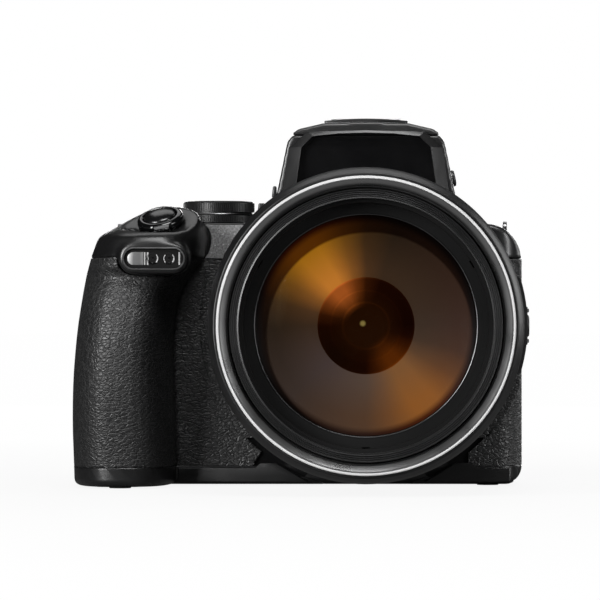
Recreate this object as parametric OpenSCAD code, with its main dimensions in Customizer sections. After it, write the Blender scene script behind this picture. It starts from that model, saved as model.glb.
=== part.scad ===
// Bridge camera with a long power-zoom lens.
// Seen from the front X runs to the right, the lens looks along -Y and Z is up.
// The origin is the mouth of the tripod socket, on the plane that the feet rest on.

/* [Casing] */
// Height of the lens axis above the table
lens_axis_h = 51.5; // [51:0.5:54]
// Lens axis to the far side of the casing
body_right = 50.4; // [49.5:0.1:54]
// Lens axis to the grip side of the casing
body_left = 86; // [84:0.5:88]
// Tripod axis to the front face of the casing
body_front = 25; // [24:0.5:28]
// Tripod axis to the back face of the casing
body_back = 30; // [29:0.5:34]
// Tripod axis to the seam of the front and rear covers
case_seam = 10; // [9:0.5:11]
// Height of the feet under the base
foot_h = 0.5; // [0.3:0.1:0.8]
// Top edge of the base strip
base_h = 6.5; // [6:0.5:8]
// Seam between the covers and the top
seam_z = 73; // [72:0.5:74]
// Top face of the casing
top_z = 84.5; // [83.5:0.5:86]
// Wall of the moulded covers
wall = 2; // [1.6:0.1:2.2]
// Thickness of the rubber coverings
skin_t = 1.1; // [0.8:0.1:1.4]
// Upright corner radius at the front
front_r = 8; // [6:0.5:10]
// Upright corner radius at the back
back_r = 6; // [5:0.5:7]
// Radius of the far shoulder, seen from the front
shoulder_r = 12; // [9:0.5:13]
// Radius of the far bottom corner, seen from the front
base_r = 6; // [3:0.5:6]

/* [Grip] */
// Lens axis to the outside of the grip
grip_left = 94.5; // [92:0.1:96]
// Lens axis to the finger side of the grip
grip_right = 62; // [60:0.5:64]
// Tripod axis to the front of the grip
grip_reach = 60.5; // [58:0.5:64]
// Tripod axis to the back of the grip's swell
grip_back = 22; // [20:0.5:24]
// Squareness of the grip's section
grip_n = 2.8; // [2.4:0.1:3.2]
// Length of the lamp bezel
lamp_w = 19.8; // [18:0.2:21]
// Height of the lamp bezel
lamp_h = 7.2; // [6.4:0.2:7.6]
// Lens axis to the middle of the lamp bezel
lamp_x = 66.7; // [65:0.1:68]

/* [Lens] */
// Tripod axis to the front of the lens
lens_reach = 122; // [120:0.5:126]
// Outer radius of the fixed barrel
barrel_r = 48.8; // [48.6:0.1:49.4]
// Step from the barrel down to the sleeve that carries the control ring
barrel_step = 1.8; // [1.6:0.1:2.2]
// Wall of that sleeve
fixed_wall = 1.5; // [1.3:0.1:1.8]
// Wall of the moving tubes
tube_wall = 2; // [1.8:0.1:2.1]
// Step from the barrel down to the lip at its mouth
nose_step = 0.4; // [0.2:0.1:0.8]
// Length of the lip at the barrel's mouth
nose_len = 7; // [6:0.5:8]
// Length of the head at the front of the moving lens
head_len = 12; // [11.5:0.5:13]
// Length of each moving tube
stage_len = 85.5; // [84:0.5:87]
// Width of the control ring
ring_w = 22; // [18:0.5:24]
// Radius of the filter thread
thread_r = 38.5; // [38:0.1:38.8]
// Length of the filter thread
thread_len = 5; // [3.5:0.1:6]
// Wall between the front glass and the tube round it
cell_wall = 3.9; // [3.5:0.1:4.5]
// Width of the glass's edge under its retainer
glass_lip = 3.4; // [3:0.1:4]
// Radius of curvature of the front glass
glass_curve = 95; // [85:1:130]
// Radius of the inner glass
inner_glass_r = 15.5; // [14:0.5:17]

/* [Hump] */
// Tripod axis to the front of the viewfinder hump
hump_front = 50; // [48:0.5:52]
// Half width of the hump where its side ends
hump_half = 24.9; // [24:0.1:26]
// Half width of the hump at the top of the casing
hump_base_half = 31.3; // [30:0.1:33]
// Lens axis to the top of the hump
hump_rise = 64.7; // [64:0.1:67]
// Height of the lifting flash cap
cap_h = 4.4; // [4:0.1:4.8]
// Length of the flash cap, front to back
cap_len = 36; // [34:0.5:37]
// Length of the eyepiece box behind the casing
eyepiece_len = 14; // [12:0.5:16]
// Length of the rubber eyecup
eyecup_len = 15.3; // [13:0.1:17]
// Width of the slot in the accessory shoe
shoe_slot_w = 18.7; // [18.6:0.05:18.8]
// Height of the slot in the accessory shoe
shoe_slot_h = 2.1; // [2:0.05:2.2]

/* [Controls] */
// Radius of the mode dial
dial_r = 11.7; // [10.5:0.1:12]
// Lens axis to the mode dial's axis
dial_x = 48.2; // [47.5:0.1:49]
// Radius of the command dial
command_r = 8; // [7:0.1:8.5]
// Radius of the zoom lever's ring
lever_r = 7.4; // [7:0.1:7.8]
// Radius of the shutter button
shutter_r = 5.1; // [4.6:0.1:5.4]
// Forward lean of the shutter button
shutter_lean = 27; // [24:1:30]
// Sideways lean of the shutter button
shutter_side_lean = 11; // [8:1:13]
// Radius of the small round buttons
button_r = 3.5; // [3:0.1:3.8]
// Radius of the multi selector
selector_r = 12.5; // [11:0.1:13]

/* [Monitor] */
// Width of the monitor
monitor_w = 77.6; // [74:0.2:79]
// Height of the monitor
monitor_h = 60; // [56:0.5:61]
// Thickness of the monitor
monitor_t = 9; // [8:0.2:10]

/* [Inside] */
// Width of the battery
battery_w = 16.6; // [15:0.2:17]
// Length of the battery
battery_l = 31.6; // [29:0.2:32]
// Height of the battery
battery_h = 46; // [42:0.5:50]
// Radius of the tripod thread
tripod_r = 3.175; // [3:0.005:3.3]

/* [Fits] */
// Running gap between pieces that move past each other
run_gap = 0.3; // [0.25:0.05:0.35]
// Gap round a button in its hole
fit_gap = 0.1; // [0.08:0.01:0.12]
// Gap round a hinge pin
pin_gap = 0.05; // [0.03:0.01:0.08]

/* [Hidden] */
$fn = 96;
hull_sides = 32;
far = 200;
seat_gap = 0.15;

// Casing
cover_z = foot_h + wall;
strip_wall = skin_t + wall;
slope_run = 12;
slope_drop = 6;
foot_r = 3.5;
foot_sink = 0.8;
foot_inset = [16.5, 14.5, 11, 9];
feet = [[foot_inset[0] - grip_left, foot_inset[1] - grip_reach],
    [body_right - foot_inset[2], foot_inset[3] - body_front],
    [foot_inset[0] - grip_left, body_back - foot_inset[3]],
    [body_right - foot_inset[2], body_back - foot_inset[3]]];
eyelet_r = 2.2;
eyelet_hole_r = 1.2;
eyelet_half_t = 0.7;
eyelet_stem_half = 1.6;
eyelet_stem_h = 6;
eyelets = [[body_right - 5, top_z - 1.1], [5.5 - body_left, top_z - 1.9]];

// Grip: height, then how far the left, the right and the front lie from their values
grip_rows = [
    [0, 0.6, 1, 8],
    [7, 0.4, 1, 7],
    [20, 0.1, 0.5, 4],
    [35, 0.5, 0, 1],
    [50, 1.8, 0, 0],
    [60, 3.2, 1.5, 2.5],
    [67, 4.4, 5, 4],
    [73, 6.1, 10, 0.5],
    [80, 7.9, 12, 0]];
grip_sides = 40;
grip_steps = 13;
grip_crown_z = seam_z + 6.8;
lamp_z = seam_z - 0.4;
lamp_y = -grip_reach - 0.3;
lamp_rim = 1;
lamp_boss_rim = 1.5;
lamp_window_t = 1.5;

// Shutter, on the leaning top of the grip
shutter_pos = [29.5 - grip_left, 16.5 - grip_reach, seam_z + 10.7];
dish_r = 12.5;
lever_h = 3.2;
lever_tab = 3.1;
dish_room = lever_r + lever_tab + 0.9;
stem_r = 2;

// Dials and buttons on the top
dial_y = 2;
dial_stem_r = 3;
dial_plinth_h = 0.3;
dial_low_z = dial_plinth_h + run_gap;
dial_neck_z = 2.9;
dial_high_z = 4.1;
dial_rim_z = 7.1;
dial_top_z = 7.7;
dial_groove = 0.8;
command_pos = [-62, body_back - 9];
command_stem_r = 2.5;
power_pos = [-66, -1];
power_r = 4.2;
function_pos = [-70.5, 9];
function_r = 3;

// Lens, along the axis from the tripod axis forwards
head_back = lens_reach - head_len;
mid_front = head_back - 0.5;
mid_back = mid_front - stage_len;
front_tube_back = mid_back + 2;
fixed_r = barrel_r - barrel_step;
fixed_in_r = fixed_r - fixed_wall;
mid_r = fixed_in_r - run_gap;
front_tube_r = mid_r - tube_wall - run_gap;
nose_r = barrel_r - nose_step;
nose_front = mid_front - 3.5;
nose_back = nose_front - nose_len;
ring_front = nose_back - run_gap;
ring_back = ring_front - ring_w;
ring_seat_r = fixed_r - 0.2;
barrel_front = ring_back - run_gap;
barrel_back = body_front - skin_t;
fixed_back = 12;
trim_w = 1;
trim_t = 1.4;
front_bore_r = front_tube_r - tube_wall;
cell_front = lens_reach - 15;
filter_front = lens_reach - 0.7;
filter_back = head_back + 1.2;
filter_r = thread_r + 2.7;
filter_neck_r = thread_r - 1.2;
filter_seat_r = thread_r + 3.2;
filter_seat_len = 3;
groove_r = filter_r + 1;
head_wall = 3.5;
head_r = max(mid_r, filter_seat_r + head_wall);
glass_edge_r = front_bore_r - cell_wall;
glass_r = glass_edge_r - glass_lip;
glass_back = cell_front - 4.5;
glass_sag = glass_curve - sqrt(pow(glass_curve, 2) - pow(glass_r, 2));
glass_lip_front = cell_front + 0.86;
glass_apex = glass_lip_front + glass_sag;
cone_back = cell_front - 26.5;
skin_clear_r = barrel_r + 3.7;

// Side housing of the fixed barrel
pod_x = barrel_r + 1.6;
pod_half = 15;
pod_front = barrel_front - 4.4;
pod_back = barrel_back + 7.1;
snapback_d = pod_front - 7;
rocker_back = pod_back + 9;
rocker_front = snapback_d - 8;
rocker_half = 6;
rocker_travel = 2.5;

// Hump
hump_back = body_back;
hump_top = lens_axis_h + hump_rise;
hump_drop = 6;
hump_flare = 7;
hump_taper = [4, 3];
cap_z = hump_top - cap_h;
cap_back = cap_len - hump_front;
cap_swing = 0.7;
flash_pivot = [cap_back - 1.6, hump_top - 1.6];
flash_lug_r = 1.2;
flash_lug_x = 8;
flash_lug_w = 3;
flash_pin_r = 0.7;
flash_button_d = 40;
flash_button_rise = 4.8;
flash_button_pos = [-flash_button_d,
    lens_axis_h + sqrt(pow(barrel_r, 2) - pow(hump_half, 2)) + flash_button_rise];
flash_button_r = 2.6;
flash_button_proud = 1.6;
plate_t = 0.9;
plate_sink = 0.3;
shoe_z = hump_top - 1.3;
shoe_half_l = 11;
shoe_half_w = shoe_slot_w / 2 + 1.9;
shoe_floor = 0.8;
shoe_lip = 0.9;
eyepiece_z = lens_axis_h + 45.5;
eyepiece_half_w = 19;
eyepiece_half_h = 10.5;
eyepiece_r = 9.5;
eyepiece_curve = 26.4;
eyepiece_t = 4.8;
eyepiece_seat = 6;
diopter_r = 4.6;
diopter_stem_r = 2;

// Back
selector_pos = [-60, 35];
focus_pos = [-55, 62];
focus_r = 8.5;
lock_r = 4.2;
ok_r = 5.2;
button_x = [-46, -74];
button_z = [50, 17];
record_pos = [-44, seam_z + 5.2];
record_r = button_r - 0.5;
monitor_button_pos = [-24, top_z - 1.5];
monitor_button_r = button_r - 1;
selector_hub_r = selector_r - 4;
focus_hub_r = focus_r - 2.5;
hinge_x = body_right - 5.9;
hinge_pin_r = 1.5;
hinge_r = 3.4;
monitor_y = body_back + 0.4;
monitor_x = hinge_x - hinge_r - 0.5;
monitor_z = (base_h + seam_z) / 2 - monitor_h / 2;
hinge_y = monitor_y + hinge_r + 1;
knuckle_half = 12;
lug_h = 6;

// Inside
box_wall = 1.5;
box_gap = 0.2;
battery_x = 17.5 - grip_left;
battery_y = 41.5 - grip_reach;
door_t = 1.8;
door_margin = 0.6;
box_flange = 0.4;
door_pin_r = 0.6;
box_rim = box_gap + box_wall + door_margin;
door_rim = [battery_w / 2 + box_rim, battery_l / 2 + box_rim];
door_x = [battery_x - door_rim[0], battery_x + door_rim[0]];
door_y = [battery_y - door_rim[1], battery_y + door_rim[1]];
door_pin_pos = [door_x[1] - 1.2, foot_h + 1];
latch_w = 8;
latch_l = 5;
latch_room = latch_l + 3;
latch_x = door_x[0] + 1.6;
board_y = 20;
board_t = 1.6;
port_y = [case_seam + 2.5, case_seam + 12.5];
port_z = [24, 56];
port_half_t = 0.8;
port_pin_r = 0.4;
port_pin_pos = [body_right - port_half_t, port_y[0] + run_gap + port_half_t];
socket_r = 5.5;
socket_flange_r = 7;
socket_flange_t = 0.6;
socket_h = 10;

// Round stretches and outlines

function arc(cx, cy, r, from, to, steps = 8) =
    [for (i = [0:steps]) let (a = from + (to - from) * i / steps) [cx + r * cos(a), cy + r * sin(a)]];

function round_box(x0, y0, x1, y1, r) = concat(
    arc(x0 + r, y0 + r, r, 180, 270), arc(x1 - r, y0 + r, r, 270, 360),
    arc(x1 - r, y1 - r, r, 0, 90), arc(x0 + r, y1 - r, r, 90, 180));

function long_hole(cx, cy, w, h) = concat(
    arc(cx + (w - h) / 2, cy, h / 2, -90, 90, 16), arc(cx - (w - h) / 2, cy, h / 2, 90, 270, 16));

// A knurled edge: flat-topped ribs round a circle
function knurl(r, depth, count) = [for (i = [0:4 * count - 1])
    let (a = 90 / count * i, q = r - (i % 4 < 2 ? 0 : depth)) [q * cos(a), q * sin(a)]];

// The casing seen from above
function body_plan(inset) = let (
    x0 = inset - body_left, x1 = body_right - inset, y0 = inset - body_front, y1 = body_back - inset,
    f = front_r - inset, b = back_r - inset) concat(
    arc(x0 + f, y0 + f, f, 180, 270), arc(x1 - f, y0 + f, f, 270, 360),
    arc(x1 - b, y1 - b, b, 0, 90), arc(x0 + b, y1 - b, b, 90, 180));

// The top of the casing seen from the front
function top_view(inset) = let (r = shoulder_r - inset) concat(
    [[inset - body_left, 0], [body_right - inset, 0]],
    arc(body_right - shoulder_r, top_z - shoulder_r, r, 0, 90),
    [[slope_run - body_left, top_z - inset], [inset - body_left, top_z - slope_drop - inset]]);

// The bottom of the casing seen from the front
function base_view() = concat(arc(body_right - base_r, foot_h + base_r, base_r, -90, 0),
    [[body_right, far], [-far, far], [-far, foot_h]]);

// Smooth value between the grip's rows
function row_below(z) = max([for (i = [0:len(grip_rows) - 2]) if (i == 0 || grip_rows[i][0] <= z) i]);

function spline(a, b, c, d, t) =
    b + 0.5 * t * (c - a + t * (2 * a - 5 * b + 4 * c - d + t * (3 * (b - c) + d - a)));

function grip_value(z, k) = let (
    i = row_below(z), last = len(grip_rows) - 1, b = grip_rows[i], c = grip_rows[i + 1],
    a = grip_rows[max(i - 1, 0)], d = grip_rows[min(i + 2, last)])
    spline(a[k], b[k], c[k], d[k], (z - b[0]) / (c[0] - b[0]));

function swell(v) = sign(v) * pow(abs(v), 2 / grip_n);

// The grip seen from above, at one height
function grip_ring(z, inset) = let (
    x0 = grip_value(z, 1) - grip_left + inset, x1 = grip_value(z, 2) - grip_right - inset,
    y0 = grip_value(z, 3) - grip_reach + inset, y1 = grip_back - inset)
    [for (i = [0:grip_sides - 1]) let (a = 360 * i / grip_sides)
        [(x0 + x1 + (x1 - x0) * swell(cos(a))) / 2, (y0 + y1 + (y1 - y0) * swell(sin(a))) / 2]];

// The hump seen from the front: half its outline goes up the far side and back over the crown
function hump_half_view(base, half, drop, inset) = let (top = hump_top - drop - inset) [
    [base - inset, top_z - 6], [half - inset, top - 6.2], [half - 3.9 - inset, top - 2.4],
    [half - 11.5, top - 0.5]];

function hump_view(base, half, drop, inset) = let (h = hump_half_view(base, half, drop, inset)) concat(
    h, [[0, hump_top - drop - inset]], [for (i = [3:-1:0]) [-h[i][0], h[i][1]]]);

// Solids by direction

module along_z(z0, z1) {
    translate([0, 0, z0]) linear_extrude(z1 - z0) children();
}

module along_y(y0, y1) {
    translate([0, y1, 0]) rotate([90, 0, 0]) linear_extrude(y1 - y0) children();
}

module along_x(x0, x1) {
    translate([x0, 0, 0]) rotate([90, 0, 90]) linear_extrude(x1 - x0) children();
}

module lens_frame() {
    translate([0, 0, lens_axis_h]) rotate([90, 0, 0]) children();
}

// A turned piece: radius and distance forward of the tripod axis
module turned(points) {
    lens_frame() rotate_extrude() polygon(points);
}

module bored(r, from, to) {
    lens_frame() translate([0, 0, from]) cylinder(r = r, h = to - from);
}

module at_shutter() {
    translate(shutter_pos) rotate([shutter_lean, -shutter_side_lean, 0]) children();
}

module at_back(pos) {
    translate([pos[0], body_back, pos[1]]) rotate([-90, 0, 0]) children();
}

module in_front_of_seam() {
    translate([-far, -far, -far]) cube([2 * far, far + case_seam, 2 * far]);
}

module behind_seam() {
    translate([-far, case_seam, -far]) cube([2 * far, far, 2 * far]);
}

// A button with a flange that keeps it in its wall: z = 0 is the wall's outer face
module push_button(r, proud) {
    rotate_extrude() polygon([[0, -wall - 1.3], [r + 0.8, -wall - 1.3], [r + 0.8, -wall - run_gap],
        [r, -wall - run_gap], [r, proud - 0.4], [r - 0.4, proud], [0, proud]]);
}

module button_hole(r) {
    translate([0, 0, -wall - 3]) cylinder(r = r + fit_gap, h = wall + 6);
}

// Casing forms

module grip_loft(z0, z1, inset) {
    n = grip_sides;
    points = [for (k = [0:grip_steps]) let (z = z0 + (z1 - z0) * k / grip_steps)
        for (p = grip_ring(z, inset)) [p[0], p[1], z]];
    sides = [for (k = [0:grip_steps - 1], i = [0:n - 1])
        let (a = k * n + i, b = k * n + (i + 1) % n) each [[a, a + n, b + n], [a, b + n, b]]];
    floor_face = [[for (i = [0:n - 1]) i]];
    top_face = [[for (i = [n - 1:-1:0]) grip_steps * n + i]];
    polyhedron(points, concat(floor_face, sides, top_face));
}

module shoulder(inset) {
    low = inset > 0 ? seam_z - 1 : seam_z;
    hull() {
        along_z(low, low + 0.2) polygon(grip_ring(seam_z, inset));
        along_z(grip_crown_z - inset - 0.2, grip_crown_z - inset)
            polygon(grip_ring(grip_crown_z, inset + 0.6));
        at_shutter() translate([0, 0, -inset - 0.2])
            cylinder(r = dish_r - inset, h = 0.2, $fn = hull_sides);
    }
}

module hump_section(y, drop, inset) {
    t = (y + hump_front) / (hump_back + hump_front);
    along_y(y - 0.1, y + 0.1)
        polygon(hump_view(hump_base_half - hump_taper[0] * t, hump_half - hump_taper[1] * t, drop, inset));
}

module hump(inset) {
    hull() {
        hump_section(inset - hump_front + 0.1, 0, inset);
        hump_section(shoe_half_l + 1, 0, inset);
        hump_section(hump_back - inset - 0.1, hump_drop, inset);
    }
}

module hump_foot(inset) {
    hull() {
        along_z(top_z - 6, top_z - 5.8)
            polygon(round_box(-hump_base_half - hump_flare + inset, inset - body_front,
                hump_base_half + hump_flare - inset, body_back - inset, 4));
        along_z(top_z + 5.8 - inset, top_z + 6 - inset)
            polygon(round_box(-hump_base_half + 1 + inset, inset - body_front, hump_base_half - 1 - inset,
                body_back - inset, 4));
    }
}

module top_slab(inset) {
    intersection() {
        along_z(inset > 0 ? seam_z - 1 : seam_z, top_z) polygon(body_plan(inset));
        along_y(-far, far) polygon(top_view(inset));
    }
}

module lens_room() {
    bored(fixed_r + seat_gap, fixed_back - 3, body_front);
    bored(barrel_r + seat_gap, barrel_back, lens_reach);
}

module lamp_boss(grow) {
    along_y(lamp_y, lamp_y + 11)
        polygon(long_hole(-lamp_x, lamp_z, lamp_w + 2 * (lamp_boss_rim + grow),
            lamp_h + 2 * (lamp_boss_rim + grow)));
}

module eyepiece_form(grow, y0, y1) {
    along_y(y0, y1) polygon(round_box(-eyepiece_half_w - grow, eyepiece_z - eyepiece_half_h - grow,
        eyepiece_half_w + grow, eyepiece_z + eyepiece_half_h + grow, 4));
}

// The space that the flash cap fills and swings through
module cap_room() {
    translate([-far, -far, cap_z]) cube([2 * far, far + cap_back + cap_swing, far]);
}

module flash_lugs() {
    reach = cap_back + cap_swing + wall - flash_pivot[0];
    for (side = [-1, 1])
        along_x(side * flash_lug_x - flash_lug_w / 2, side * flash_lug_x + flash_lug_w / 2) {
            translate(flash_pivot) circle(r = flash_lug_r);
            translate([flash_pivot[0], flash_pivot[1] - flash_lug_r]) square([reach, 2 * flash_lug_r]);
        }
}

module eyelet_form(pos, grow) {
    along_x(pos[0] - eyelet_half_t - grow, pos[0] + eyelet_half_t + grow) {
        translate([0, pos[1]]) circle(r = eyelet_r + grow);
        translate([-eyelet_stem_half - grow, pos[1] - eyelet_stem_h])
            square([2 * (eyelet_stem_half + grow), eyelet_stem_h]);
    }
}

// Pieces of the casing

// The smooth strip round the foot of the casing
module base_strip() {
    intersection() {
        union() {
            along_z(foot_h, base_h) polygon(body_plan(0));
            along_z(foot_h, base_h) polygon(grip_ring(base_h, 0));
        }
        along_y(-far, far) polygon(base_view());
    }
}

// The floor between the strip's walls
module floor_form(z0, z1) {
    along_z(z0, z1) polygon(body_plan(strip_wall));
    along_z(z0, z1) polygon(grip_ring(base_h, strip_wall));
}

module front_cover() {
    color("#1b1b1c") difference() {
        intersection() {
            union() {
                base_strip();
                along_z(base_h, seam_z) polygon(body_plan(skin_t));
                grip_loft(base_h, seam_z, skin_t);
            }
            in_front_of_seam();
        }
        floor_form(-1, base_h);
        along_z(base_h - 1, seam_z + 1) polygon(body_plan(strip_wall));
        grip_loft(base_h, seam_z, strip_wall);
        lens_room();
        bored(skin_clear_r, barrel_back, body_front + 1);
        lamp_boss(seat_gap);
    }
}

module rear_cover() {
    middle = monitor_z + monitor_h / 2;
    color("#1d1d1e") difference() {
        union() {
            intersection() {
                union() {
                    base_strip();
                    along_z(base_h, seam_z) polygon(body_plan(0));
                    grip_loft(base_h, seam_z, 0);
                }
                behind_seam();
            }
            for (z = [-knuckle_half - lug_h - run_gap, knuckle_half + run_gap])
                along_z(middle + z, middle + z + lug_h) {
                    translate([hinge_x, hinge_y]) circle(r = hinge_r);
                    translate([hinge_x - hinge_r, body_back - 1])
                        square([2 * hinge_r, hinge_y - body_back + 1]);
                }
        }
        floor_form(-1, base_h);
        difference() {
            union() {
                along_z(base_h, seam_z + 1) polygon(body_plan(wall));
                grip_loft(base_h, seam_z, wall);
            }
            board_posts();
        }
        translate([hinge_x, hinge_y, 0]) cylinder(r = hinge_pin_r, h = far);
        for (x = button_x, z = button_z) at_back([x, z]) button_hole(button_r);
        at_back(selector_pos) button_hole(selector_hub_r);
        at_back(focus_pos) button_hole(focus_hub_r);
        port_opening();
        port_pin(pin_gap);
    }
}

module board_posts() {
    for (x = [-38, 24], z = [20, 60])
        translate([x, body_back - wall, z]) rotate([90, 0, 0])
            cylinder(r = 2.5, h = body_back - wall - board_y - board_t);
}

module port_opening() {
    translate([body_right - far / 4, port_y[0], port_z[0]])
        cube([far / 2, port_y[1] - port_y[0], port_z[1] - port_z[0]]);
}

module port_pin(grow) {
    for (z = [port_z[0] - 1, port_z[1] - 1])
        translate([port_pin_pos[0], port_pin_pos[1], z]) cylinder(r = port_pin_r + grow, h = 2);
}

module top_cover() {
    color("#202021") difference() {
        union() {
            difference() {
                union() {
                    top_slab(0);
                    shoulder(0);
                    hump(0);
                    hump_foot(0);
                    eyepiece_form(0, body_back - wall - 2, body_back + eyepiece_len);
                    lamp_boss(0);
                    translate([-dial_x, dial_y, top_z]) cylinder(r = dial_r - 1.2, h = dial_plinth_h);
                }
                top_slab(wall);
                shoulder(wall);
                hump(wall);
                hump_foot(wall);
                cap_room();
                translate([-far, -far, 0]) cube([2 * far, 2 * far, seam_z - lamp_h - 6]);
            }
            flash_lugs();
            translate([-shoe_half_w, -shoe_half_l, cap_z])
                cube([2 * shoe_half_w, 2 * shoe_half_l, shoe_z - cap_z]);
            intersection() {
                at_shutter() translate([0, 0, -7]) cylinder(r = lever_r + 1, h = 6.8);
                shoulder(0);
            }
        }
        lens_room();
        translate([-shoe_half_w - fit_gap, -shoe_half_l - fit_gap, shoe_z])
            cube([2 * (shoe_half_w + fit_gap), 2 * (shoe_half_l + fit_gap), far]);
        translate([0, flash_pivot[0], flash_pivot[1]]) rotate([0, 90, 0])
            cylinder(r = flash_pin_r + pin_gap, h = 3 * flash_lug_x, center = true);
        along_y(-hump_front - 1, -hump_front + plate_t + plate_sink) viewfinder_outline(seat_gap);
        translate([0, body_back + eyepiece_len - eyepiece_seat, eyepiece_z]) rotate([-90, 0, 0])
            cylinder(r = eyepiece_r + pin_gap, h = 20);
        translate([0, body_back - 6, eyepiece_z]) rotate([-90, 0, 0]) cylinder(r = eyepiece_r - 2, h = 30);
        at_shutter() cylinder(r = dish_room, h = far);
        at_shutter() translate([0, 0, -2.5]) cylinder(r = shutter_r + 1.1, h = 10);
        at_shutter() translate([0, 0, -10]) cylinder(r = stem_r + fit_gap, h = 20);
        along_y(lamp_y - 1, lamp_y + lamp_window_t)
            polygon(long_hole(-lamp_x, lamp_z, lamp_w - 2 * lamp_rim, lamp_h - 2 * lamp_rim));
        translate([-dial_x, dial_y, 0]) cylinder(r = dial_stem_r + fit_gap, h = far);
        translate([command_pos[0], command_pos[1], 0]) cylinder(r = command_stem_r + fit_gap, h = far);
        translate([power_pos[0], power_pos[1], top_z]) button_hole(power_r);
        translate([function_pos[0], function_pos[1], top_z]) button_hole(function_r);
        at_back(record_pos) button_hole(record_r);
        at_back(monitor_button_pos) button_hole(monitor_button_r);
        at_flash_button() button_hole(flash_button_r);
        at_diopter() translate([0, 0, -4]) cylinder(r = diopter_stem_r + fit_gap, h = 10);
        for (pos = eyelets) eyelet_form(pos, 0.02);
    }
}

module at_flash_button() {
    side = hump_half_view(hump_base_half, hump_half, 0, 0);
    y = flash_button_pos[0];
    z = flash_button_pos[1];
    k = (z - side[0][1]) / (side[1][1] - side[0][1]);
    slope = (hump_taper[0] * (1 - k) + hump_taper[1] * k) / (hump_back + hump_front);
    x = side[0][0] + (side[1][0] - side[0][0]) * k - slope * (y + hump_front);
    lean = atan((side[0][0] - side[1][0]) / (side[1][1] - side[0][1]));
    translate([x, y, z]) rotate([0, 0, atan(slope)]) rotate([0, 90 - lean, 0]) children();
}

module at_diopter() {
    translate([eyepiece_half_w, body_back + eyepiece_len / 2, eyepiece_z]) rotate([0, 90, 0]) children();
}

module base_plate() {
    color("#1c1c1d") difference() {
        intersection() {
            union() {
                floor_form(foot_h, cover_z);
                translate([0, 0, foot_h]) cylinder(r = socket_r + 3, h = socket_h - 2);
            }
            along_y(-far, far) polygon(base_view());
        }
        lens_room();
        translate([0, 0, -1]) cylinder(r = socket_r, h = 2 * socket_h);
        translate([0, 0, -1]) cylinder(r = socket_flange_r, h = foot_h + socket_flange_t + 1);
        rubber_feet();
        door_opening();
        door_pins(pin_gap);
    }
}

module grip_skin() {
    color("#161616") difference() {
        intersection() {
            difference() {
                union() {
                    along_z(base_h, seam_z) polygon(body_plan(0));
                    grip_loft(base_h, seam_z, 0);
                }
                along_z(base_h - 1, seam_z + 1) polygon(body_plan(skin_t));
                grip_loft(base_h, seam_z, skin_t);
            }
            in_front_of_seam();
            translate([-far, -far, 0]) cube([far - 10, 2 * far, far]);
        }
        bored(skin_clear_r, barrel_back - 1, lens_reach);
        along_y(-body_front - 1, -body_front + 4)
            polygon([[-37, base_h - 1], [-31, base_h + 8], [0, base_h + 8], [0, base_h - 1]]);
        lamp_boss(seat_gap);
    }
}

module side_skin() {
    color("#161616") difference() {
        intersection() {
            along_z(base_h, seam_z) polygon(body_plan(0));
            in_front_of_seam();
            translate([33, -far, 0]) cube([far, 2 * far, far]);
        }
        along_z(base_h - 1, seam_z + 1) polygon(body_plan(skin_t));
        bored(skin_clear_r, barrel_back - 1, lens_reach);
        lens_room();
    }
}

module viewfinder_outline(grow) {
    difference() {
        polygon([[-hump_half + 2 - grow, cap_z - 16], [hump_half - 2 + grow, cap_z - 16],
            [hump_half - 3.3 + grow, cap_z - 4.3], [hump_half - 6.6 + grow, cap_z - 0.6 + grow],
            [-hump_half + 6.6 - grow, cap_z - 0.6 + grow], [-hump_half + 3.3 - grow, cap_z - 4.3]]);
        translate([0, lens_axis_h]) circle(r = barrel_r + 1 - grow);
    }
}

module viewfinder_plate() {
    color("#0b0b0c") along_y(-hump_front + plate_sink, -hump_front + plate_sink + plate_t)
        viewfinder_outline(0);
}

module lamp_bezel() {
    color("#4a4a4c") along_y(lamp_y - 0.8, lamp_y) difference() {
        polygon(long_hole(-lamp_x, lamp_z, lamp_w, lamp_h));
        polygon(long_hole(-lamp_x, lamp_z, lamp_w - 2 * lamp_rim, lamp_h - 2 * lamp_rim));
    }
}

module lamp_window() {
    color("#77787a") along_y(lamp_y - 0.4, lamp_y + lamp_window_t)
        polygon(long_hole(-lamp_x, lamp_z, lamp_w - 2 * lamp_rim - 0.1, lamp_h - 2 * lamp_rim - 0.1));
}

module tripod_socket() {
    color("#9a9a9c") difference() {
        union() {
            cylinder(r = socket_r, h = socket_h);
            cylinder(r = socket_flange_r, h = foot_h + socket_flange_t);
        }
        translate([0, 0, -1]) cylinder(r = tripod_r, h = socket_h - 0.5);
    }
}

module rubber_feet() {
    color("#101010") for (p = feet) translate([p[0], p[1], 0]) cylinder(r = foot_r, h = foot_h + foot_sink);
}

module strap_eyelets() {
    color("#8d8d8f") for (pos = eyelets) difference() {
        eyelet_form(pos, 0);
        along_x(pos[0] - 2, pos[0] + 2) translate([0, pos[1]]) circle(r = eyelet_hole_r);
    }
}

module accessory_shoe() {
    slot = shoe_slot_w / 2;
    lip_in = slot - 3;
    z1 = shoe_z + shoe_floor;
    z2 = z1 + shoe_slot_h;
    z3 = z2 + shoe_lip;
    far_side = [[shoe_half_w, shoe_z], [shoe_half_w, z3], [lip_in, z3], [lip_in, z2], [slot, z2],
        [slot, z1]];
    color("#7c7d80") along_y(-shoe_half_l, shoe_half_l)
        polygon(concat(far_side, [for (i = [5:-1:0]) [-far_side[i][0], far_side[i][1]]]));
}

// Lens

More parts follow.
